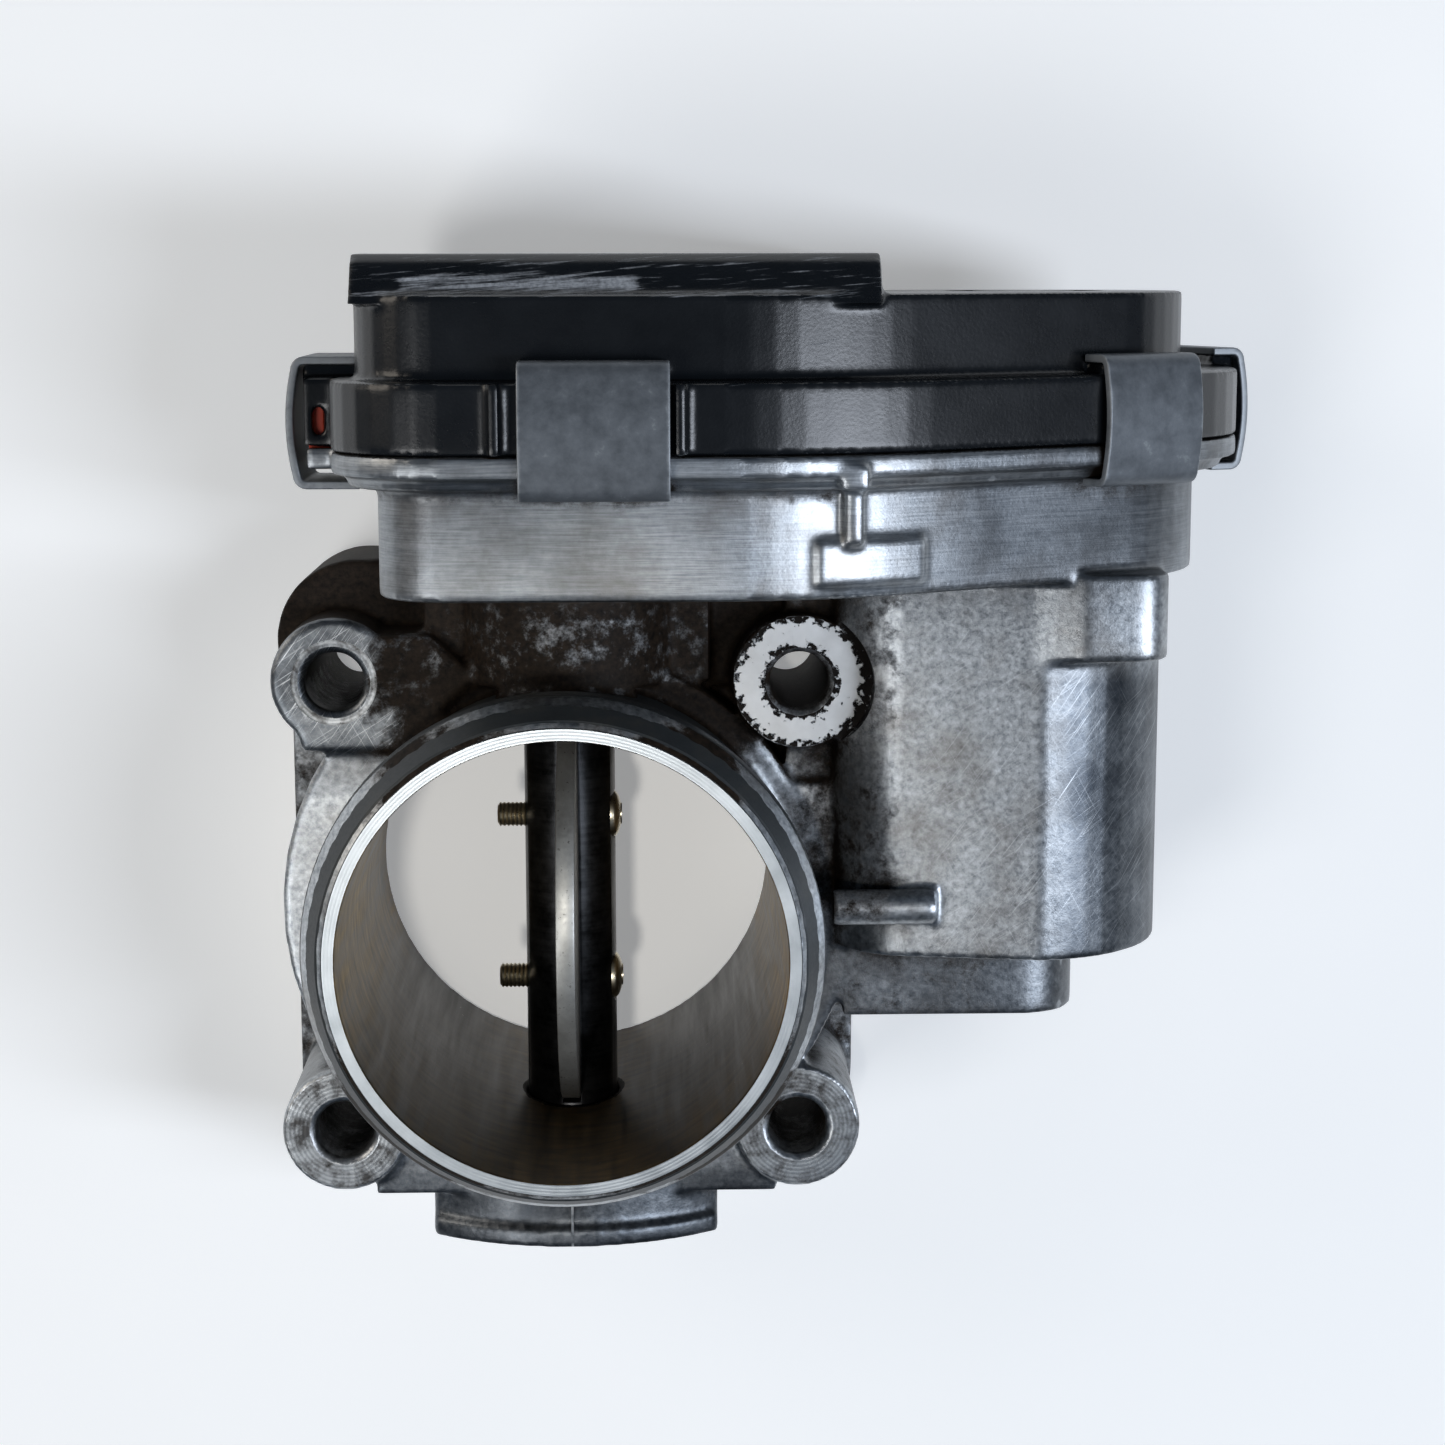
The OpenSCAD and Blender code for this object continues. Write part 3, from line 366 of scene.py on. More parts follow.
def turned(name, profile, centre, axis, *materials, steps=160):
    """A solid turned about an axis through centre: profile is a closed outline of (radius, height)."""
    shape = bmesh.new()
    points = [shape.verts.new((radius, 0, height)) for radius, height in profile]
    edges = [shape.edges.new(pair) for pair in zip(points, points[1:] + points[:1])]
    bmesh.ops.spin(shape, geom=points + edges, cent=(0, 0, 0), axis=(0, 0, 1), angle=2 * math.pi,
                   steps=steps, use_merge=True)
    stand = Vector(axis).to_track_quat("Z", "Y").to_matrix().to_4x4()
    bmesh.ops.transform(shape, matrix=Matrix.Translation(centre) @ stand, verts=shape.verts)
    return solid(name, shape, *materials)


def block(name, low, high, *materials):
    """A block between two corners, to add to a casting or cut out of it."""
    shape = bmesh.new()
    bmesh.ops.create_cube(shape, size=1)
    size = Vector(high) - Vector(low)
    middle = (Vector(high) + Vector(low)) / 2
    bmesh.ops.transform(shape, matrix=Matrix.Translation(middle) @ Matrix.Diagonal((*size, 1)),
                        verts=shape.verts)
    return solid(name, shape, *materials)


def settle(piece):
    """Replaces a piece's mesh by what its modifiers make of it."""
    graph = bpy.context.evaluated_depsgraph_get()
    shaped = bpy.data.meshes.new_from_object(piece.evaluated_get(graph))
    piece.modifiers.clear()
    piece.data = shaped


def combine(piece, tool, operation):
    """Adds a tool's shape to a piece or cuts it away. The new faces take the tool's material."""
    step = piece.modifiers.new("machining", "BOOLEAN")
    step.operation, step.solver, step.material_mode = operation, "MANIFOLD", "TRANSFER"
    step.object = tool
    settle(piece)
    bpy.data.objects.remove(tool)


def moulded_copy(name, node, material, voxel, rounds, keep):
    """A copy of a CAD node with its corners rounded, as a mould leaves them."""
    shape = bmesh.new()
    shape.from_mesh(frame["nodes"][node].data)
    piece = solid(name, shape, material)
    remesh = piece.modifiers.new("skin", "REMESH")
    remesh.mode, remesh.voxel_size = "VOXEL", voxel
    smooth = piece.modifiers.new("radii", "SMOOTH")
    smooth.factor, smooth.iterations = 0.5, rounds
    thin = piece.modifiers.new("thin", "DECIMATE")
    thin.ratio = keep
    settle(piece)
    return piece


def show_edges(piece, degrees=32):
    """Smooth shading that keeps every machined edge sharp and every machined face flat."""
    piece.data.shade_smooth()
    piece.data.set_sharp_from_angle(angle=math.radians(degrees))
    weights = piece.modifiers.new("flat_faces", "WEIGHTED_NORMAL")
    weights.keep_sharp = True


def ramp(value, start, end):
    """0 before start, 1 past end, and smooth between, for a whole array."""
    t = np.clip((value - start) / (end - start), 0, 1)
    return t * t * (3 - 2 * t)


def mark(piece, name, patches):
    """Writes a value on every vertex. Each patch is a soft box: two corners in mm, amount, softness."""
    at = np.array([v.co for v in piece.data.vertices]) / mm
    value = np.zeros(len(at))
    for low, high, amount, soft in patches:
        depth = np.minimum(at - np.array(low), np.array(high) - at).min(axis=1)
        value = np.maximum(value, amount * ramp(depth, -soft, soft))
    layer = piece.data.attributes.new(name, "FLOAT", "POINT")
    layer.data.foreach_set("value", value.astype(np.float32))


cast = die_cast_aluminium()
milled = milled_aluminium()
housing = moulded_copy("housing_casting", "housing", cast, voxel=0.42 * mm, rounds=8, keep=0.55)

spigot = turned("spigot_turning", [
    (bore_r - 2 * mm, bolt_face_z), (neck_r, bolt_face_z), (neck_r, lip_z - 9.8 * mm),
    (neck_r + 0.3 * mm, lip_z - 9.4 * mm), (land_r - 0.3 * mm, lip_z - 8.3 * mm),
    (land_r, lip_z - 7.8 * mm), (land_r, lip_z - 5.2 * mm), (land_r - 0.25 * mm, lip_z - 4.7 * mm),
    (lip_r + 0.75 * mm, lip_z - 0.85 * mm), (lip_r + 0.45 * mm, lip_z - 0.7 * mm),
    (lip_r, lip_z - 0.7 * mm), (lip_r, lip_z - 0.12 * mm), (lip_r - 0.12 * mm, lip_z),
    (bore_r - 2 * mm, lip_z)], (0, 0, 0), (0, 0, 1), spigot_painted_dark(), steps=220)
combine(housing, spigot, "UNION")
lip_face = turned("lip_facing", [
    (0, lip_z - 0.02 * mm), (lip_r + 1 * mm, lip_z - 0.02 * mm), (lip_r + 1 * mm, lip_z + 2 * mm),
    (0, lip_z + 2 * mm)], (0, 0, 0), (0, 0, 1), turned_lip(), steps=220)
combine(housing, lip_face, "DIFFERENCE")
bore = turned("bore_tool", [
    (0, -1 * mm), (bore_r + 0.9 * mm, -1 * mm), (bore_r, 0.5 * mm), (bore_r, lip_z - 0.35 * mm),
    (bore_r + 0.25 * mm, lip_z + 0.3 * mm), (0, lip_z + 0.3 * mm)], (0, 0, 0), (0, 0, 1),
    varnished_bore(), steps=220)
combine(housing, bore, "DIFFERENCE")
engine_face = block("face_mill", (-60 * mm, -60 * mm, -1 * mm), (100 * mm, 70 * mm, 0.1 * mm), milled)
combine(housing, engine_face, "DIFFERENCE")
for side, up in ((-1, -1), (1, -1), (1, 1), (-1, 1)):
    beside_motor = side > 0 and up > 0
    on_pad = side < 0 and up > 0
    face = bolt_face_z + (1.3 * mm if beside_motor else -0.12 * mm)
    spot_r = bolt_hole_r + 1.6 * mm if on_pad else 8.6 * mm
    spot = turned("spot_face", [
        (0, face), (spot_r, face), (spot_r, face + 4 * mm), (0, face + 4 * mm)],
        (side * bolt, up * bolt, 0), (0, 0, 1), lapped_aluminium() if beside_motor else milled, steps=96)
    combine(housing, spot, "DIFFERENCE")
    drill = turned("bolt_drill", [
        (0, -1 * mm), (bolt_hole_r + 0.5 * mm, -1 * mm), (bolt_hole_r, 0.6 * mm),
        (bolt_hole_r, face - 0.55 * mm), (bolt_hole_r + 0.7 * mm, face + 0.15 * mm), (0, face + 0.15 * mm)],
        (side * bolt, up * bolt, 0), (0, 0, 1), cast, steps=96)
    combine(housing, drill, "DIFFERENCE")
# The mould's parting line stands up as a fine ridge over the lower boss
parting = block("parting_line", (-0.14 * mm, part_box("housing")[0].y + 0.2 * mm, 30 * mm),
                (0.14 * mm, -33 * mm, 35.45 * mm), cast)
combine(housing, parting, "UNION")
# Darker zones: where oil ran, plus painted shade in the recesses, under the barrel and flange, on the low ground
# and foot, and on the bore's upper and lower walls
mark(housing, "oil_and_shade", (
    ((-24, 23, 0), (27, 41, 42), 0.57, 3),        # between spigot and gearcase
    ((-40, 28, 0), (-20, 44, 33), 0.75, 1.5),     # shoulder behind the left pad
    ((-24, 17, 30), (-8, 34, 36), 0.4, 4),        # right half of the left pad
    ((26, -2, 0), (40, 40, 50), 0.42, 5),         # beside the barrel
    ((30, -30, 0), (52, -3.5, 50), 0.34, 3),      # under the barrel
    ((-60, 50.5, 0), (30, 53.2, 80), 0.3, 1),     # under the joint flange
    ((48, 40, 0), (90, 56, 58), 0.2, 8),          # right end of the gearcase
    ((-60, -60, -5), (60, -8, 33), 0.25, 4),      # low ground round the lower bosses
    ((-60, -60, -5), (60, 60, 14), 0.4, 4),       # the foot of the part
    ((-25.2, -26, -5), (25.2, -9, 64), 1, 6),     # the bore's lower wall
    ((-20, 8, -5), (20, 26, 64), 0.9, 6)))        # the bore's upper wall
# Dark bluish zones, partly oil film and partly painted shade: the barrel's round side, the gearcase round the
# motor and its left end, the pads, steps and everything below the bolt faces
mark(housing, "film_and_shade", (
    ((57, -8, -5), (90, 30, 60), 0.85, 3),        # the barrel's round side
    ((42, 39, -5), (90, 57, 80), 0.7, 8),         # the gearcase round the motor
    ((-60, 39, -5), (4, 57, 80), 0.5, 10),        # the gearcase's left end
    ((-40, 14, 32.8), (-6, 36, 36), 0.75, 1),     # the left pad
    ((-25, -50, -5), (25, -33, 40), 0.75, 1),     # lower boss
    ((28, -20, -5), (72, -4.6, 60), 0.6, 2),      # the barrel's rear step
    ((-60, 30, -5), (-18, 44, 40), 0.6, 2),       # shoulder behind the left pad
    ((-60, -60, -5), (60, 40, 32.6), 0.5, 1)))    # everything below the bolt faces
# Scratch zones: the left pad and the barrel's round side are scratched, and the barrel's sloping face is scratched
# dense as a painted highlight
mark(housing, "scratches_and_highlight", (
    ((-34, 17, 33.5), (-8, 34, 36), 0.9, 1),      # the left pad
    ((50, -6, 20), (75, 34, 46), 0.35, 4),        # the barrel's round side
    ((42, -6, 40), (57, 34, 46), 0.7, 3)))        # the barrel's sloping face
show_edges(housing)
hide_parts("housing")
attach(housing, "root")

# ------------------------------ throttle shaft and plate
# A ground steel shaft, slotted for the plate, that has gone dark with oil. The plate is a stamped
# aluminium disc, and stands edge-on while the throttle is open.


def ground_metal(name, light, dark, ring_mm, roughness):
    """Ground or drawn metal: fine rings along the Y axis, and soft darker patches of old oil."""
    material, surface, place = new_material(name, metallic=0.9, roughness=roughness)
    around = add_node(material, "Mapping", {
        "Vector": place, "Scale": (1 / (6 * mm), 1 / (ring_mm * mm), 1 / (6 * mm))})
    lines = add_node(material, "TexNoise", {
        "Vector": around.outputs[0], "Scale": 1, "Detail": 4, "Roughness": 0.6})
    cloud = add_node(material, "TexNoise", {
        "Vector": place, "Scale": 1 / (3 * mm), "Detail": 6, "Roughness": 0.65})
    both = add_node(material, "Mix", {0: 0.3, 2: cloud.outputs["Fac"], 3: lines.outputs["Fac"]})
    spread = add_node(material, "MapRange", {
        "Value": both.outputs[0], "From Min": 0.36, "From Max": 0.64})
    colour = add_node(material, "Mix", {
        0: spread.outputs[0], 6: linear(dark), 7: linear(light)}, data_type="RGBA")
    rough = add_node(material, "MapRange", {
        "Value": cloud.outputs["Fac"], "To Min": roughness - 0.12, "To Max": roughness + 0.15})
    marks = add_node(material, "Bump", {
        "Height": lines.outputs["Fac"], "Strength": 0.15, "Distance": 0.01 * mm})
    return feed(material, surface, Base_Color=colour.outputs[2], Roughness=rough.outputs[0],
                Normal=marks.outputs[0])


def dress(node, material, edge=0.0):
    """Gives a CAD node its finish and, where edge is set, broken corners of that width."""
    piece = frame["nodes"][node]
    piece.data.materials.clear()
    piece.data.materials.append(material)
    if edge:
        weld = piece.modifiers.new("weld", "WELD")
        weld.merge_threshold = 0.002 * mm
        bevel = piece.modifiers.new("broken_corners", "BEVEL")
        bevel.width, bevel.segments, bevel.limit_method = edge, 2, "ANGLE"
        bevel.angle_limit = math.radians(40)
    return piece


def stamped_aluminium():
    # Stamped sheet: clouded grey, with dark brown specks over it
    material, surface, place = new_material("stamped_aluminium", metallic=0.85)
    cloud = add_node(material, "TexNoise", {
        "Vector": place, "Scale": 1 / (4 * mm), "Detail": 8, "Roughness": 0.7})
    fine = add_node(material, "TexNoise", {
        "Vector": place, "Scale": 1 / (0.6 * mm), "Detail": 5, "Roughness": 0.7})
    tone = add_node(material, "Mix", {
        0: cloud.outputs["Fac"], 6: linear("#6b6a66"), 7: linear("#c4c5c2")}, data_type="RGBA")
    specks = add_node(material, "MapRange", {
        "Value": fine.outputs["Fac"], "From Min": 0.6, "From Max": 0.7, "To Max": 0.8})
    colour = add_node(material, "Mix", {
        0: specks.outputs[0], 6: tone.outputs[2], 7: linear("#2b2620")}, data_type="RGBA")
    rough = add_node(material, "MapRange", {"Value": fine.outputs["Fac"], "To Min": 0.3, "To Max": 0.6})
    skin = add_node(material, "Bump", {
        "Height": fine.outputs["Fac"], "Strength": 0.3, "Distance": 0.04 * mm})
    return feed(material, surface, Base_Color=colour.outputs[2], Roughness=rough.outputs[0],
                Normal=skin.outputs[0])


dress("throttle_shaft", ground_metal("oiled_shaft_steel", "#3d3e40", "#121314", 0.5, 0.34), 0.15 * mm)
dress("throttle_plate", stamped_aluminium(), 0.2 * mm)

# ------------------------------ plate screws
# Two M3 screws hold the plate in its slot: low round heads with a socket, rolled threads, and ends
# left long. They are zinc plated with a yellow passivation, which shows as pale brass.


def yellow_zinc():
    # Passivated zinc plating: bright, slightly yellow, duller in spots
    material, surface, place = new_material("yellow_zinc", metallic=1)
    cloud = add_node(material, "TexNoise", {
        "Vector": place, "Scale": 1 / (1.2 * mm), "Detail": 6, "Roughness": 0.6})
    colour = add_node(material, "Mix", {
        0: cloud.outputs["Fac"], 6: linear("#b9ab86"), 7: linear("#f6f1e2")}, data_type="RGBA")
    rough = add_node(material, "MapRange", {
        "Value": cloud.outputs["Fac"], "To Min": 0.18, "To Max": 0.42})
    return feed(material, surface, Base_Color=colour.outputs[2], Roughness=rough.outputs[0])


zinc = yellow_zinc()
joints = {joint["name"]: joint for joint in frame["joints"]}
shaft_z = joints["throttle_turn"]["pos_m"][2]
screw_r = 1.5 * mm
thread_pitch = 0.5 * mm
thread_depth = 0.16 * mm
tip_bevel = 0.3 * mm
head_r, head_rim, head_dome = 2.85 * mm, 0.3 * mm, 1.1 * mm
socket_r, socket_bevel = 1.15 * mm, 0.15 * mm
screw_low, screw_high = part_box("plate_screws")
tip_x, head_x = screw_low.x, screw_high.x - head_rim - head_dome
screw_y = screw_high.y - 2.9 * mm
for count, y in enumerate((-screw_y, screw_y)):
    thread = [(screw_r - (thread_depth if k % 2 else 0), tip_x + tip_bevel + k * thread_pitch / 2)
              for k in range(20)]
    head = [(head_r * math.cos(a), head_x + head_rim + head_dome * math.sin(a))
            for a in [math.radians(9 * k) for k in range(8)]]
    shank = [(0, tip_x), (screw_r - 0.4 * mm, tip_x)] + thread + [(screw_r, head_x), (head_r, head_x)]
    socket = [(socket_r + socket_bevel, screw_high.x), (socket_r, screw_high.x - socket_bevel),
              (socket_r, head_x + 0.55 * mm), (0, head_x + 0.4 * mm)]
    screw = turned(f"plate_screw_{count + 1}", shank + head + socket, (0, y, shaft_z), (1, 0, 0), zinc,
                   steps=48)
    show_edges(screw, 38)
    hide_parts("plate_screws")
    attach(screw, "throttle")

# ------------------------------ shaft bearings and seals
# The shaft runs in a ball bearing at the gear end and drawn-cup needles at the far end, with a lip seal
# inside each. A circlip holds the ball bearing, and a pressed steel cup closes the far end.


def moulded(name, light, dark, patch_mm, grain_mm, roughness):
    """A moulded plastic or rubber: an even colour with faint flow marks and a fine grain."""
    material, surface, place = new_material(name, roughness=roughness)
    flow = add_node(material, "TexNoise", {
        "Vector": place, "Scale": 1 / (patch_mm * mm), "Detail": 5, "Roughness": 0.6})
    grain = add_node(material, "TexNoise", {"Vector": place, "Scale": 1 / (grain_mm * mm), "Detail": 3})
    colour = add_node(material, "Mix", {
        0: flow.outputs["Fac"], 6: linear(dark), 7: linear(light)}, data_type="RGBA")
    rough = add_node(material, "MapRange", {
        "Value": flow.outputs["Fac"], "To Min": roughness - 0.1, "To Max": roughness + 0.12})
    skin = add_node(material, "Bump", {
        "Height": grain.outputs["Fac"], "Strength": 0.2, "Distance": 0.04 * mm})
    return feed(material, surface, Base_Color=colour.outputs[2], Roughness=rough.outputs[0],
                Normal=skin.outputs[0])


bearing_steel = ground_metal("bearing_steel", "#d3d6da", "#85898d", 0.4, 0.25)
spring_steel = ground_metal("spring_steel", "#6d7074", "#3a3c3f", 0.8, 0.35)
pressed_steel = ground_metal("pressed_steel", "#a5a8ab", "#5c5f62", 1.2, 0.4)
dress("shaft_seals", moulded("nitrile_rubber", "#222326", "#101113", 3, 0.5, 0.6))
dress("lower_needle_bearing", bearing_steel, 0.05 * mm)
dress("upper_bearing_outer_ring", bearing_steel, 0.2 * mm)
dress("upper_bearing_inner_ring", bearing_steel, 0.2 * mm)
dress("upper_bearing_balls", bearing_steel)
dress("bearing_circlip", spring_steel, 0.1 * mm)
dress("shaft_end_plug", pressed_steel, 0.25 * mm)

# ------------------------------ gear train and return spring
# The motor pinion drives an intermediate gear on a fixed pin, which drives the sector on the shaft.
# Both gears are moulded nylon. The torsion spring pulls the plate open against the motor.
nylon = moulded("natural_nylon", "#e6dfcb", "#cabf9f", 6, 0.6, 0.42)
sintered_magnet = ground_metal("sintered_magnet", "#4b4c50", "#2c2c30", 0.7, 0.55)
sintered_bronze = ground_metal("sintered_bronze", "#c39d5a", "#8a6a36", 0.6, 0.4)
dress("sector_gear", nylon, 0.1 * mm)
dress("intermediate_gear", nylon, 0.08 * mm)
dress("sector_insert", pressed_steel, 0.1 * mm)
dress("sensor_magnet", sintered_magnet, 0.15 * mm)
dress("spring_guide", moulded("blue_nylon", "#3b5b79", "#25405a", 5, 0.5, 0.45), 0.15 * mm)
dress("intermediate_pin", bearing_steel, 0.2 * mm)
dress("thrust_washers", sintered_bronze, 0.05 * mm)

spring_low, spring_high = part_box("return_spring")
wire_r, wire_sides = 0.55 * mm, 12
coil_r = spring_high.x - wire_r
coil_turns, turn_steps = 5, 24
coil_y0 = spring_low.y + wire_r
coil_pitch = (spring_high.y - spring_low.y - 2 * wire_r) / coil_turns
leg_x = spring_low.x + wire_r
path = [Vector((leg_x, coil_y0, shaft_z - 3 * mm))]
for step in range(coil_turns * turn_steps + 1):
    turn = math.pi + step * 2 * math.pi / turn_steps
    path.append(Vector((coil_r * math.cos(turn), coil_y0 + step * coil_pitch / turn_steps,
                        shaft_z + coil_r * math.sin(turn))))
path.append(Vector((leg_x, spring_high.y - wire_r, shaft_z - 3.4 * mm)))
shape = bmesh.new()
rings = []
for i, point in enumerate(path):
    ahead = (path[min(i + 1, len(path) - 1)] - path[max(i - 1, 0)]).normalized()
    side = ahead.cross(Vector((0, 1, 0))).normalized()
    up = side.cross(ahead)
    rings.append([shape.verts.new(point + wire_r * (math.cos(a) * side + math.sin(a) * up))
                  for a in [k * 2 * math.pi / wire_sides for k in range(wire_sides)]])
for ring, after in zip(rings, rings[1:]):
    for k in range(wire_sides):
        beside = (k + 1) % wire_sides
        shape.faces.new((ring[k], ring[beside], after[beside], after[k]))
shape.faces.new(rings[0])
shape.faces.new(rings[-1])
spring = solid("return_spring_coil", shape, spring_steel)
show_edges(spring, 50)
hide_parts("return_spring")
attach(spring, "root")

# ------------------------------ motor
# A brushed motor in a drawn steel can: magnets, wound armature, commutator and brushes. Its front
# plate is screwed to the casting, and a wave washer presses it forward from the bottom of the barrel.
brass = ground_metal("tinned_brass", "#d9c07a", "#a5894a", 0.9, 0.3)
dress("motor_can", pressed_steel, 0.4 * mm)
dress("motor_front_plate", pressed_steel, 0.15 * mm)
dress("motor_magnets", sintered_magnet, 0.2 * mm)
dress("motor_armature", ground_metal("enamelled_copper", "#b86f3c", "#6b3a1d", 0.45, 0.38), 0.2 * mm)
dress("motor_commutator", ground_metal("commutator_copper", "#c9885a", "#8c5532", 0.5, 0.3), 0.1 * mm)
dress("motor_brushes", moulded("carbon", "#2b2c2f", "#17181a", 2, 0.3, 0.6), 0.1 * mm)
dress("motor_bushes", sintered_bronze, 0.1 * mm)
dress("motor_shaft", bearing_steel, 0.15 * mm)
dress("motor_pinion", sintered_bronze, 0.06 * mm)
dress("motor_screws", zinc, 0.15 * mm)
dress("motor_wave_washer", spring_steel, 0.1 * mm)
dress("motor_terminals", brass, 0.08 * mm)

# ------------------------------ sensor board and contacts
# The position sensor's chip faces the magnet on the end of the shaft. Its board and the brass lead
# frame are carried by the cover, and six pins stand in the connector socket.
dress("sensor_board", moulded("solder_resist", "#1d6a43", "#114a2d", 3, 0.3, 0.35), 0.1 * mm)
dress("sensor_chip", moulded("chip_epoxy", "#27282b", "#17181a", 2, 0.2, 0.45), 0.15 * mm)
dress("cover_contacts", brass, 0.1 * mm)
dress("connector_pins", brass, 0.12 * mm)

# ------------------------------ gearcase gasket
# A moulded silicone ring in the joint groove. Its orange pull tab turns up at the left end.
dress("cover_gasket", moulded("orange_silicone", "#d2451f", "#a62c12", 4, 0.4, 0.5), 0.15 * mm)

# ------------------------------ gearcase cover
# Glass-filled nylon, moulded black. A raised block carries the board and the connector socket. The
# plastic is scuffed pale along the block's bevel, and streaked pale on a band of its front as painted highlight.
cover_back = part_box("gearcase_cover")[1].y
roof_y = 73 * mm
motor_at = joints["motor_turn"]["pos_m"]


def black_nylon():
    # Moulded black with a satin gloss and fine glass grain. Scuffs show grey, mostly on proud edges; a band of
    # front streaks is painted highlight.
    material, surface, place = new_material("black_nylon", roughness=0.4)
    cloud = add_node(material, "TexNoise", {
        "Vector": place, "Scale": 1 / (9 * mm), "Detail": 7, "Roughness": 0.65})
    grain = add_node(material, "TexNoise", {"Vector": place, "Scale": 1 / (0.4 * mm), "Detail": 3})
    base = add_node(material, "Mix", {
        0: cloud.outputs["Fac"], 6: linear("#050607"), 7: linear("#11151a")}, data_type="RGBA")
    wipe = add_node(material, "Mapping", {
        "Vector": place, "Rotation": (0, 0.05, 0.08), "Scale": (7 * mm, 0.35 * mm, 3 * mm)},
        vector_type="TEXTURE")
    streak = add_node(material, "TexNoise", {
        "Vector": wipe.outputs[0], "Scale": 1, "Detail": 8, "Roughness": 0.72})
    rubbed_and_highlight = add_node(material, "Attribute", attribute_name="rubbed_and_highlight")
    amount = add_node(material, "Math", {
        0: streak.outputs["Fac"], 1: rubbed_and_highlight.outputs["Fac"]}, operation="ADD")
    scuff_and_highlight = add_node(material, "MapRange", {
        "Value": amount.outputs[0], "From Min": 0.74, "From Max": 0.92})
    scuff_tone = add_node(material, "Mix", {
        0: grain.outputs["Fac"], 6: linear("#3c4046"), 7: linear("#c9ced4")}, data_type="RGBA")
    colour = add_node(material, "Mix", {
        0: scuff_and_highlight.outputs[0], 6: base.outputs[2], 7: scuff_tone.outputs[2]}, data_type="RGBA")
    satin = add_node(material, "MapRange", {
        "Value": cloud.outputs["Fac"], "To Min": 0.2, "To Max": 0.36})
    rough = add_node(material, "Mix", {0: scuff_and_highlight.outputs[0], 2: satin.outputs[0], 3: 0.5})
    height = add_node(material, "Math", {
        0: grain.outputs["Fac"], 1: scuff_and_highlight.outputs[0]}, operation="ADD")
    skin = add_node(material, "Bump", {
        "Height": height.outputs[0], "Strength": 0.25, "Distance": 0.05 * mm})
    return feed(material, surface, Base_Color=colour.outputs[2], Roughness=rough.outputs[0],
                Normal=skin.outputs[0])


def rounded_rectangle(x0, x1, z0, z1, radius):
    """An outline in X and Z with round corners."""
    corners = ((x1, z1, 0), (x0, z1, 90), (x0, z0, 180), (x1, z0, 270))
    points = []
    for x, z, start in corners:
        cx = x + (radius if x == x0 else -radius)
        cz = z + (radius if z == z0 else -radius)
        for k in range(7):
            a = math.radians(start + 15 * k)
            points.append((cx + radius * math.cos(a), cz + radius * math.sin(a)))
    return points


def prism(name, outline, y0, y1, *materials):
    """An outline in X and Z carried from y0 to y1."""
    shape = bmesh.new()
    near = [shape.verts.new((x, y0, z)) for x, z in outline]
    far = [shape.verts.new((x, y1, z)) for x, z in outline]
    shape.faces.new(near)
    shape.faces.new(far[::-1])
    for k in range(len(outline)):
        after = (k + 1) % len(outline)
        shape.faces.new((near[k], far[k], far[after], near[after]))
    return solid(name, shape, *materials)


nylon_black = black_nylon()
cover = moulded_copy("cover_moulding", "gearcase_cover", nylon_black, voxel=0.4 * mm, rounds=5, keep=0.45)
# Sunk panel and ejector marks on the block's back, a seat round the connector's mouth, and a sunk
# ring over the motor
panel = prism("blank_panel", rounded_rectangle(2 * mm, 31 * mm, 14 * mm, 50 * mm, 2.5 * mm),
              cover_back - 0.35 * mm, cover_back + 2 * mm, nylon_black)
combine(cover, panel, "DIFFERENCE")
mouth = prism("socket_mouth", rounded_rectangle(-20 * mm, -7.4 * mm, 12.4 * mm, 43.6 * mm, 1.8 * mm),
              cover_back - 0.7 * mm, cover_back + 2 * mm, nylon_black)
combine(cover, mouth, "DIFFERENCE")
for x, z in ((-14 * mm, 50 * mm), (-3.5 * mm, 50 * mm), (-3.5 * mm, 13 * mm)):
    dimple = turned("ejector_mark", [(0, 0), (2 * mm, 0), (2 * mm, 3 * mm), (0, 3 * mm)],
                  (x, cover_back - 0.2 * mm, z), (0, 1, 0), nylon_black, steps=40)
    combine(cover, dimple, "DIFFERENCE")
motor_ring = turned("motor_ring", [
    (6 * mm, -0.5 * mm), (9.5 * mm, -0.5 * mm), (9.5 * mm, 2 * mm), (6 * mm, 2 * mm)],
    (motor_at[0], roof_y, motor_at[2]), (0, 1, 0), nylon_black, steps=96)
combine(cover, motor_ring, "DIFFERENCE")
# Scuffed zones: the block's bevel and the rim's corner, and pale streaks on a band of the front as painted
# highlight
mark(cover, "rubbed_and_highlight", (
    ((-24, 72.6, 56), (36, 78, 64), 0.17, 0.6),        # the block's bevel
    ((-17, 72.8, 56), (9, 75.4, 64), 0.37, 1.2),       # its left half
    ((-22, 72.6, 56), (34, 73.6, 64), 0.28, 0.5),       # its lower edge
    ((24, 58, 50), (34, 72, 70), 0.1, 3),              # the front, where hands rub it
    ((-40, 62.8, 0), (90, 64.4, 70), 0.1, 0.5)))       # the rim's corner
show_edges(cover)
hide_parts("gearcase_cover")
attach(cover, "root")

# ------------------------------ cover clips
# Five bowed clips of phosphated spring steel snap over the rim and under the casting's flange. Each is
# a strip bent round both edges, with its sheared edges worn to bare metal.
clip_t = 0.9 * mm
clip_half_h = 7.4 * mm
clip_y = 58.7 * mm
clip_bow_r = 26 * mm
clip_corner_r = 1.1 * mm
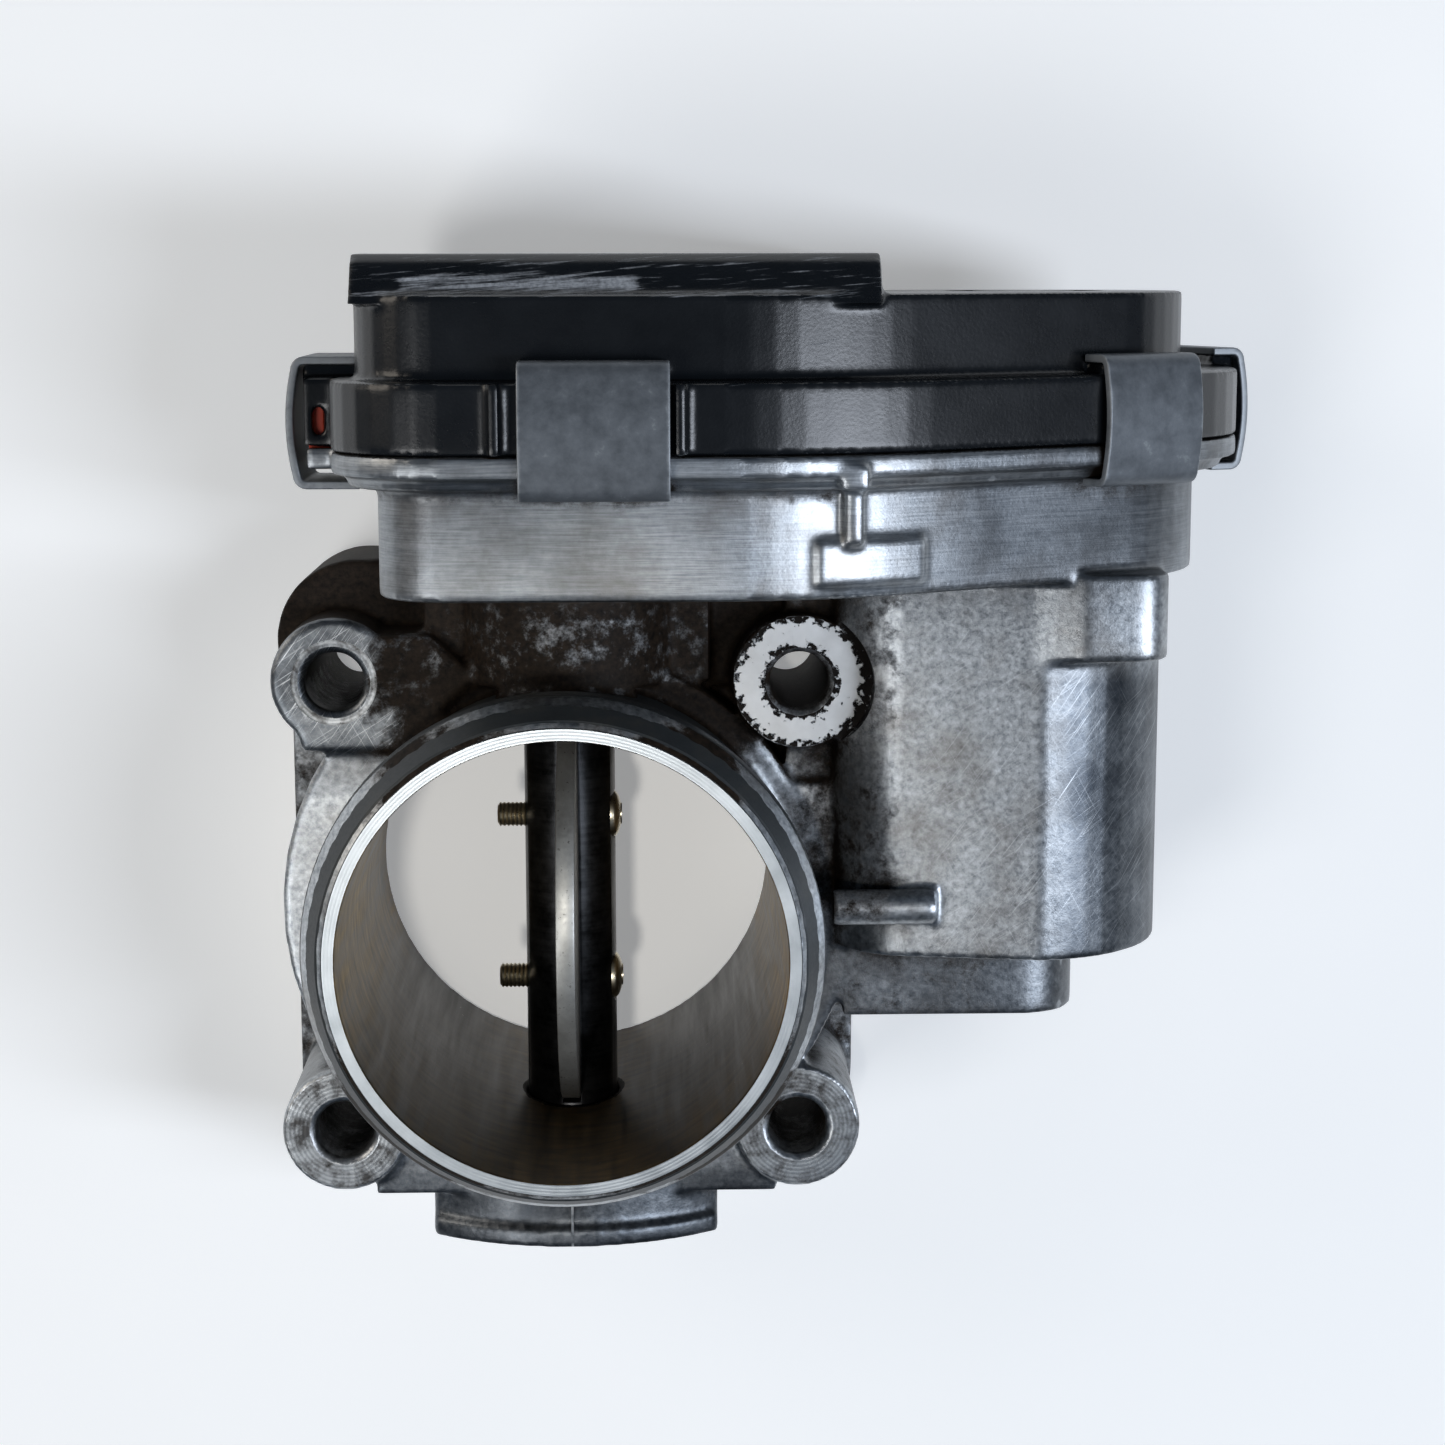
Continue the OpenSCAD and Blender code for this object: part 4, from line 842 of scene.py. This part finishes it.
# x, z, outward direction in degrees, width and reach of the legs
clip_places = (
    (4.1, 66.1, 90, 16.2, 3.4),
    (66.4, 45.4, 60.4, 13.5, 3.4),
    (56 + 24.6 * math.cos(math.radians(-20)), 23 + 24.6 * math.sin(math.radians(-20)), -20, 14, 3.4),
    (-29.1, 40, 180, 14, 6.6),
    (-25, 17, 180, 14, 2.6),
)


def phosphated_steel():
    # Zinc phosphate under old oil: dark blue-grey, blotched, with bare metal along the sheared edges
    material, surface, place = new_material("phosphated_steel", metallic=0.55)
    blotch = add_node(material, "TexNoise", {
        "Vector": place, "Scale": 1 / (2.4 * mm), "Detail": 7, "Roughness": 0.68})
    fine = add_node(material, "TexNoise", {"Vector": place, "Scale": 1 / (0.4 * mm), "Detail": 3})
    base = add_node(material, "Mix", {
        0: blotch.outputs["Fac"], 6: linear("#3a3f44"), 7: linear("#858a8f")}, data_type="RGBA")
    spots = add_node(material, "MapRange", {
        "Value": blotch.outputs["Fac"], "From Min": 0.62, "From Max": 0.72, "To Max": 0.55})
    spotted = add_node(material, "Mix", {
        0: spots.outputs[0], 6: base.outputs[2], 7: linear("#9aa09f")}, data_type="RGBA")
    worn = add_node(material, "Attribute", attribute_name="worn")
    edge = add_node(material, "Math", {0: worn.outputs["Fac"], 1: blotch.outputs["Fac"]}, operation="ADD")
    bare = add_node(material, "MapRange", {
        "Value": edge.outputs[0], "From Min": 1.1, "From Max": 1.5, "To Max": 0.4})
    colour = add_node(material, "Mix", {
        0: bare.outputs[0], 6: spotted.outputs[2], 7: linear("#c4c8cb")}, data_type="RGBA")
    rough = add_node(material, "MapRange", {
        "Value": blotch.outputs["Fac"], "To Min": 0.34, "To Max": 0.6})
    skin = add_node(material, "Bump", {
        "Height": fine.outputs["Fac"], "Strength": 0.3, "Distance": 0.04 * mm})
    return feed(material, surface, Base_Color=colour.outputs[2], Roughness=rough.outputs[0],
                Normal=skin.outputs[0])


def clip_section(reach):
    """The middle of the strip seen from its side, as (outward, up), from the lower leg to the upper."""
    leg_y = clip_half_h - clip_t / 2
    chord = math.sqrt(clip_bow_r ** 2 - clip_half_h ** 2)
    knee_y = leg_y - clip_corner_r
    upper = []
    for k in range(9):
        y = knee_y * k / 8
        upper.append((math.sqrt(clip_bow_r ** 2 - y ** 2) - chord + 0.5 * mm - clip_t / 2, y))
    knee_out = upper[-1][0]
    for k in range(1, 6):
        a = math.radians(18 * k)
        upper.append((knee_out - clip_corner_r * (1 - math.cos(a)), knee_y + clip_corner_r * math.sin(a)))
    upper.append((-reach, leg_y))
    return [(out, -y) for out, y in upper[:0:-1]] + upper


phosphate = phosphated_steel()
for count, (place_x, place_z, direction, width, reach) in enumerate(clip_places):
    out = Vector((math.cos(math.radians(direction)), 0, math.sin(math.radians(direction))))
    across = Vector((out.z, 0, -out.x))
    centre = Vector((place_x * mm, clip_y, place_z * mm))
    section = clip_section(reach * mm)
    shape = bmesh.new()
    rows = []
    for s in np.linspace(-0.5, 0.5, 17):
        rows.append([shape.verts.new(centre + across * (s * (width * mm - 0.1 * mm)) + out * o
                                     + Vector((0, up, 0))) for o, up in section])
    for row, after in zip(rows, rows[1:]):
        for k in range(len(section) - 1):
            shape.faces.new((row[k], row[k + 1], after[k + 1], after[k]))
    clip = solid(f"cover_clip_{count + 1}", shape, phosphate)
    thick = clip.modifiers.new("strip", "SOLIDIFY")
    thick.thickness, thick.offset = clip_t, 0
    rounding = clip.modifiers.new("sheared_edges", "BEVEL")
    rounding.width, rounding.segments, rounding.limit_method = 0.18 * mm, 3, "ANGLE"
    rounding.angle_limit = math.radians(50)
    settle(clip)
    sides = np.array([abs((v.co - centre).dot(across)) for v in clip.data.vertices]) / (width * mm / 2)
    worn_mark = clip.data.attributes.new("worn", "FLOAT", "POINT")
    worn_mark.data.foreach_set("value", ramp(sides, 0.93, 0.985).astype(np.float32))
    show_edges(clip, 40)
    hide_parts("cover_clips")
    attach(clip, "root")

# ------------------------------ floor, light and camera
# A plain pale floor under the engine face, one large soft light overhead, a second from the motor side
# that draws the long highlights, and a low fill. The camera stands over the bore, tipped to the gearcase.


def pale_floor():
    # A matt white sheet on a light box: even, nearly white, with a little light of its own
    material, surface, place = new_material("pale_floor", roughness=0.7)
    surface.inputs["Emission Color"].default_value = linear("#f2f4f6")
    surface.inputs["Emission Strength"].default_value = 0.32
    cloud = add_node(material, "TexNoise", {"Vector": place, "Scale": 1 / (60 * mm), "Detail": 3})
    colour = add_node(material, "Mix", {
        0: cloud.outputs["Fac"], 6: linear("#efefed"), 7: linear("#f6f6f4")}, data_type="RGBA")
    return feed(material, surface, Base_Color=colour.outputs[2])


floor = block("floor", (-2, -2, -0.02), (2, 2, -0.02 * mm), pale_floor())


def soft_light(name, place, target, size, watts, colour):
    lamp = bpy.data.lights.new(name, "AREA")
    lamp.shape, lamp.size, lamp.size_y = "RECTANGLE", size[0], size[1]
    lamp.energy, lamp.color = watts, linear(colour)[:3]
    holder = bpy.data.objects.new(name, lamp)
    holder.location = place
    holder.rotation_mode = "QUATERNION"
    holder.rotation_quaternion = (Vector(target) - Vector(place)).to_track_quat("-Z", "Y")
    bpy.context.scene.collection.objects.link(holder)


middle = (cad_box[0] + cad_box[1]) / 2
soft_light("overhead", (-0.38, -0.19, 0.69), middle, (0.3, 0.3), 1.6, "#ffffff")
soft_light("motor_side", (0.56, -0.05, 0.7), middle, (0.15, 0.5), 4.2, "#eaf2ff")
soft_light("low_fill", (-0.6, 0.3, 0.3), middle, (0.4, 0.3), 1.2, "#fff4e6")

# A narrow lamp straight down the bore lights its floor, and the faces machined square to it
beam = bpy.data.lights.new("bore_lamp", "SPOT")
beam.energy, beam.color = 6, linear("#fffaf2")[:3]
beam.spot_size, beam.spot_blend, beam.shadow_soft_size = math.radians(6.4), 0.3, 0.02
beam_holder = bpy.data.objects.new("bore_lamp", beam)
beam_holder.location = (-0.05, 0.03, 0.75)
beam_holder.rotation_mode = "QUATERNION"
beam_holder.rotation_quaternion = Vector((0.05, -0.03, -0.75)).to_track_quat("-Z", "Y")
bpy.context.scene.collection.objects.link(beam_holder)

world = bpy.data.worlds.new("studio")
world.use_nodes = True
world.node_tree.nodes["Background"].inputs["Color"].default_value = linear("#9db4d0")
world.node_tree.nodes["Background"].inputs["Strength"].default_value = 0.14
bpy.context.scene.world = world
bpy.context.scene.view_settings.view_transform = "Standard"

camera_data = bpy.data.cameras.new("camera")
camera_data.sensor_width = 36
camera_data.lens = 68.9
camera = bpy.data.objects.new("camera", camera_data)
camera.location = (10.12 * mm, 75.49 * mm, 357.99 * mm)
camera.rotation_mode = "ZYX"
camera.rotation_euler = (math.radians(-9.297), math.radians(-1.446), math.radians(-0.35))
bpy.context.scene.collection.objects.link(camera)
bpy.context.scene.camera = camera
